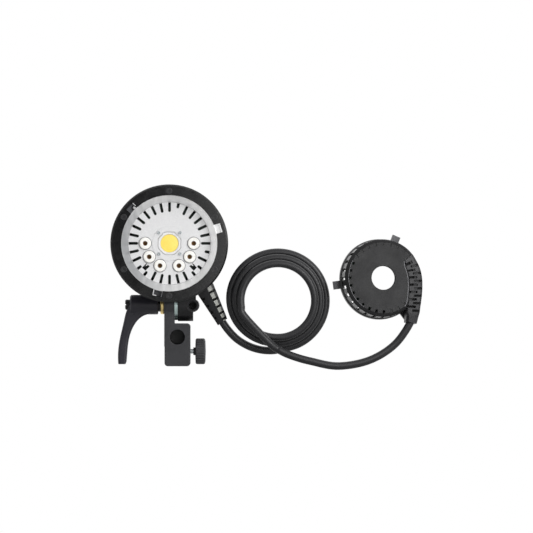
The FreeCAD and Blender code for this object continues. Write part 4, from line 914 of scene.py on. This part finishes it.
def area_light(name, place, target, size, power):
    data = bpy.data.lights.new(name, "AREA")
    data.shape = "RECTANGLE"
    data.size, data.size_y = size
    data.energy = power
    obj = bpy.data.objects.new(name, data)
    bpy.context.scene.collection.objects.link(obj)
    obj.location = place
    obj.rotation_euler = (Vector(target) - Vector(place)).to_track_quat("-Z", "Y").to_euler()


def seen_white(s, lit):
    """White to the camera, and lit as given for every other ray."""
    to_camera = s.node("ShaderNodeLightPath").outputs["Is Camera Ray"]
    white = s.feed(s.node("ShaderNodeEmission"), Strength=1.0).outputs[0]
    return s.mix_shaders(to_camera, lit, white)


def studio_world():
    """A soft white room, brighter to the right and above, that the camera sees as plain white."""
    world = bpy.data.worlds.new("studio")
    world.use_nodes = True
    s = Nodes(world.node_tree, "Generated")

    def facing(direction, low, high, to_low, to_high):
        towards = s.vector("DOT_PRODUCT", s.place, Vector(direction).normalized())
        return s.remap(towards, low, high, to_low, to_high, curve="SMOOTHSTEP")

    level = facing((0.5, -0.1, 0.85), -0.9, 1.0, ROOM_LOW, ROOM_HIGH)
    level = s.math("MULTIPLY", level, facing((0, -1, -0.3), 0.5, 0.93, 1.0, ROOM_DIP))
    level = s.math("MULTIPLY", level, facing((0, 1, 0), 0.0, 0.8, 1.0, ROOM_BACK))
    room = s.feed(s.tree.nodes["Background"], Color=(1, 1, 1, 1), Strength=level).outputs[0]
    s.feed(s.tree.nodes["World Output"], Surface=seen_white(s, room))
    return world


def floor():
    """A pale floor that turns into a softly glowing backdrop behind the object."""
    place = (cad_middle.x, 0, cad_low.z - FLOOR_DROP)
    bpy.ops.mesh.primitive_plane_add(size=FLOOR_SIZE, location=place)
    plane = bpy.context.object
    plane.name = "floor"
    s = Shader("floor_white")
    s.feed(s.surface, Base_Color=(0.4, 0.4, 0.4, 1), Roughness=0.8)
    glow = s.feed(s.node("ShaderNodeEmission"), Strength=1.0).outputs[0]
    backdrop = s.mix_shaders(s.remap(s.along(1), 0.0, BACKDROP_FROM), s.surface.outputs[0], glow)
    s.feed(s.tree.nodes["Material Output"], Surface=seen_white(s, backdrop))
    dress(plane, s.material)


def camera():
    data = bpy.data.cameras.new("camera")
    data.sensor_width = SENSOR_MM
    data.lens = SENSOR_MM * CAMERA_DISTANCE / VIEW_WIDTH
    obj = bpy.data.objects.new("camera", data)
    bpy.context.scene.collection.objects.link(obj)
    obj.location = cad_middle + CAMERA_SHIFT
    obj.location.y = -CAMERA_DISTANCE
    obj.rotation_euler = (math.radians(90), 0, 0)
    bpy.context.scene.camera = obj


def stage():
    bpy.context.scene.world = studio_world()
    bpy.context.scene.view_settings.view_transform = "Standard"
    floor()
    for light in LIGHTS:
        area_light(*light)
    camera()


stage()
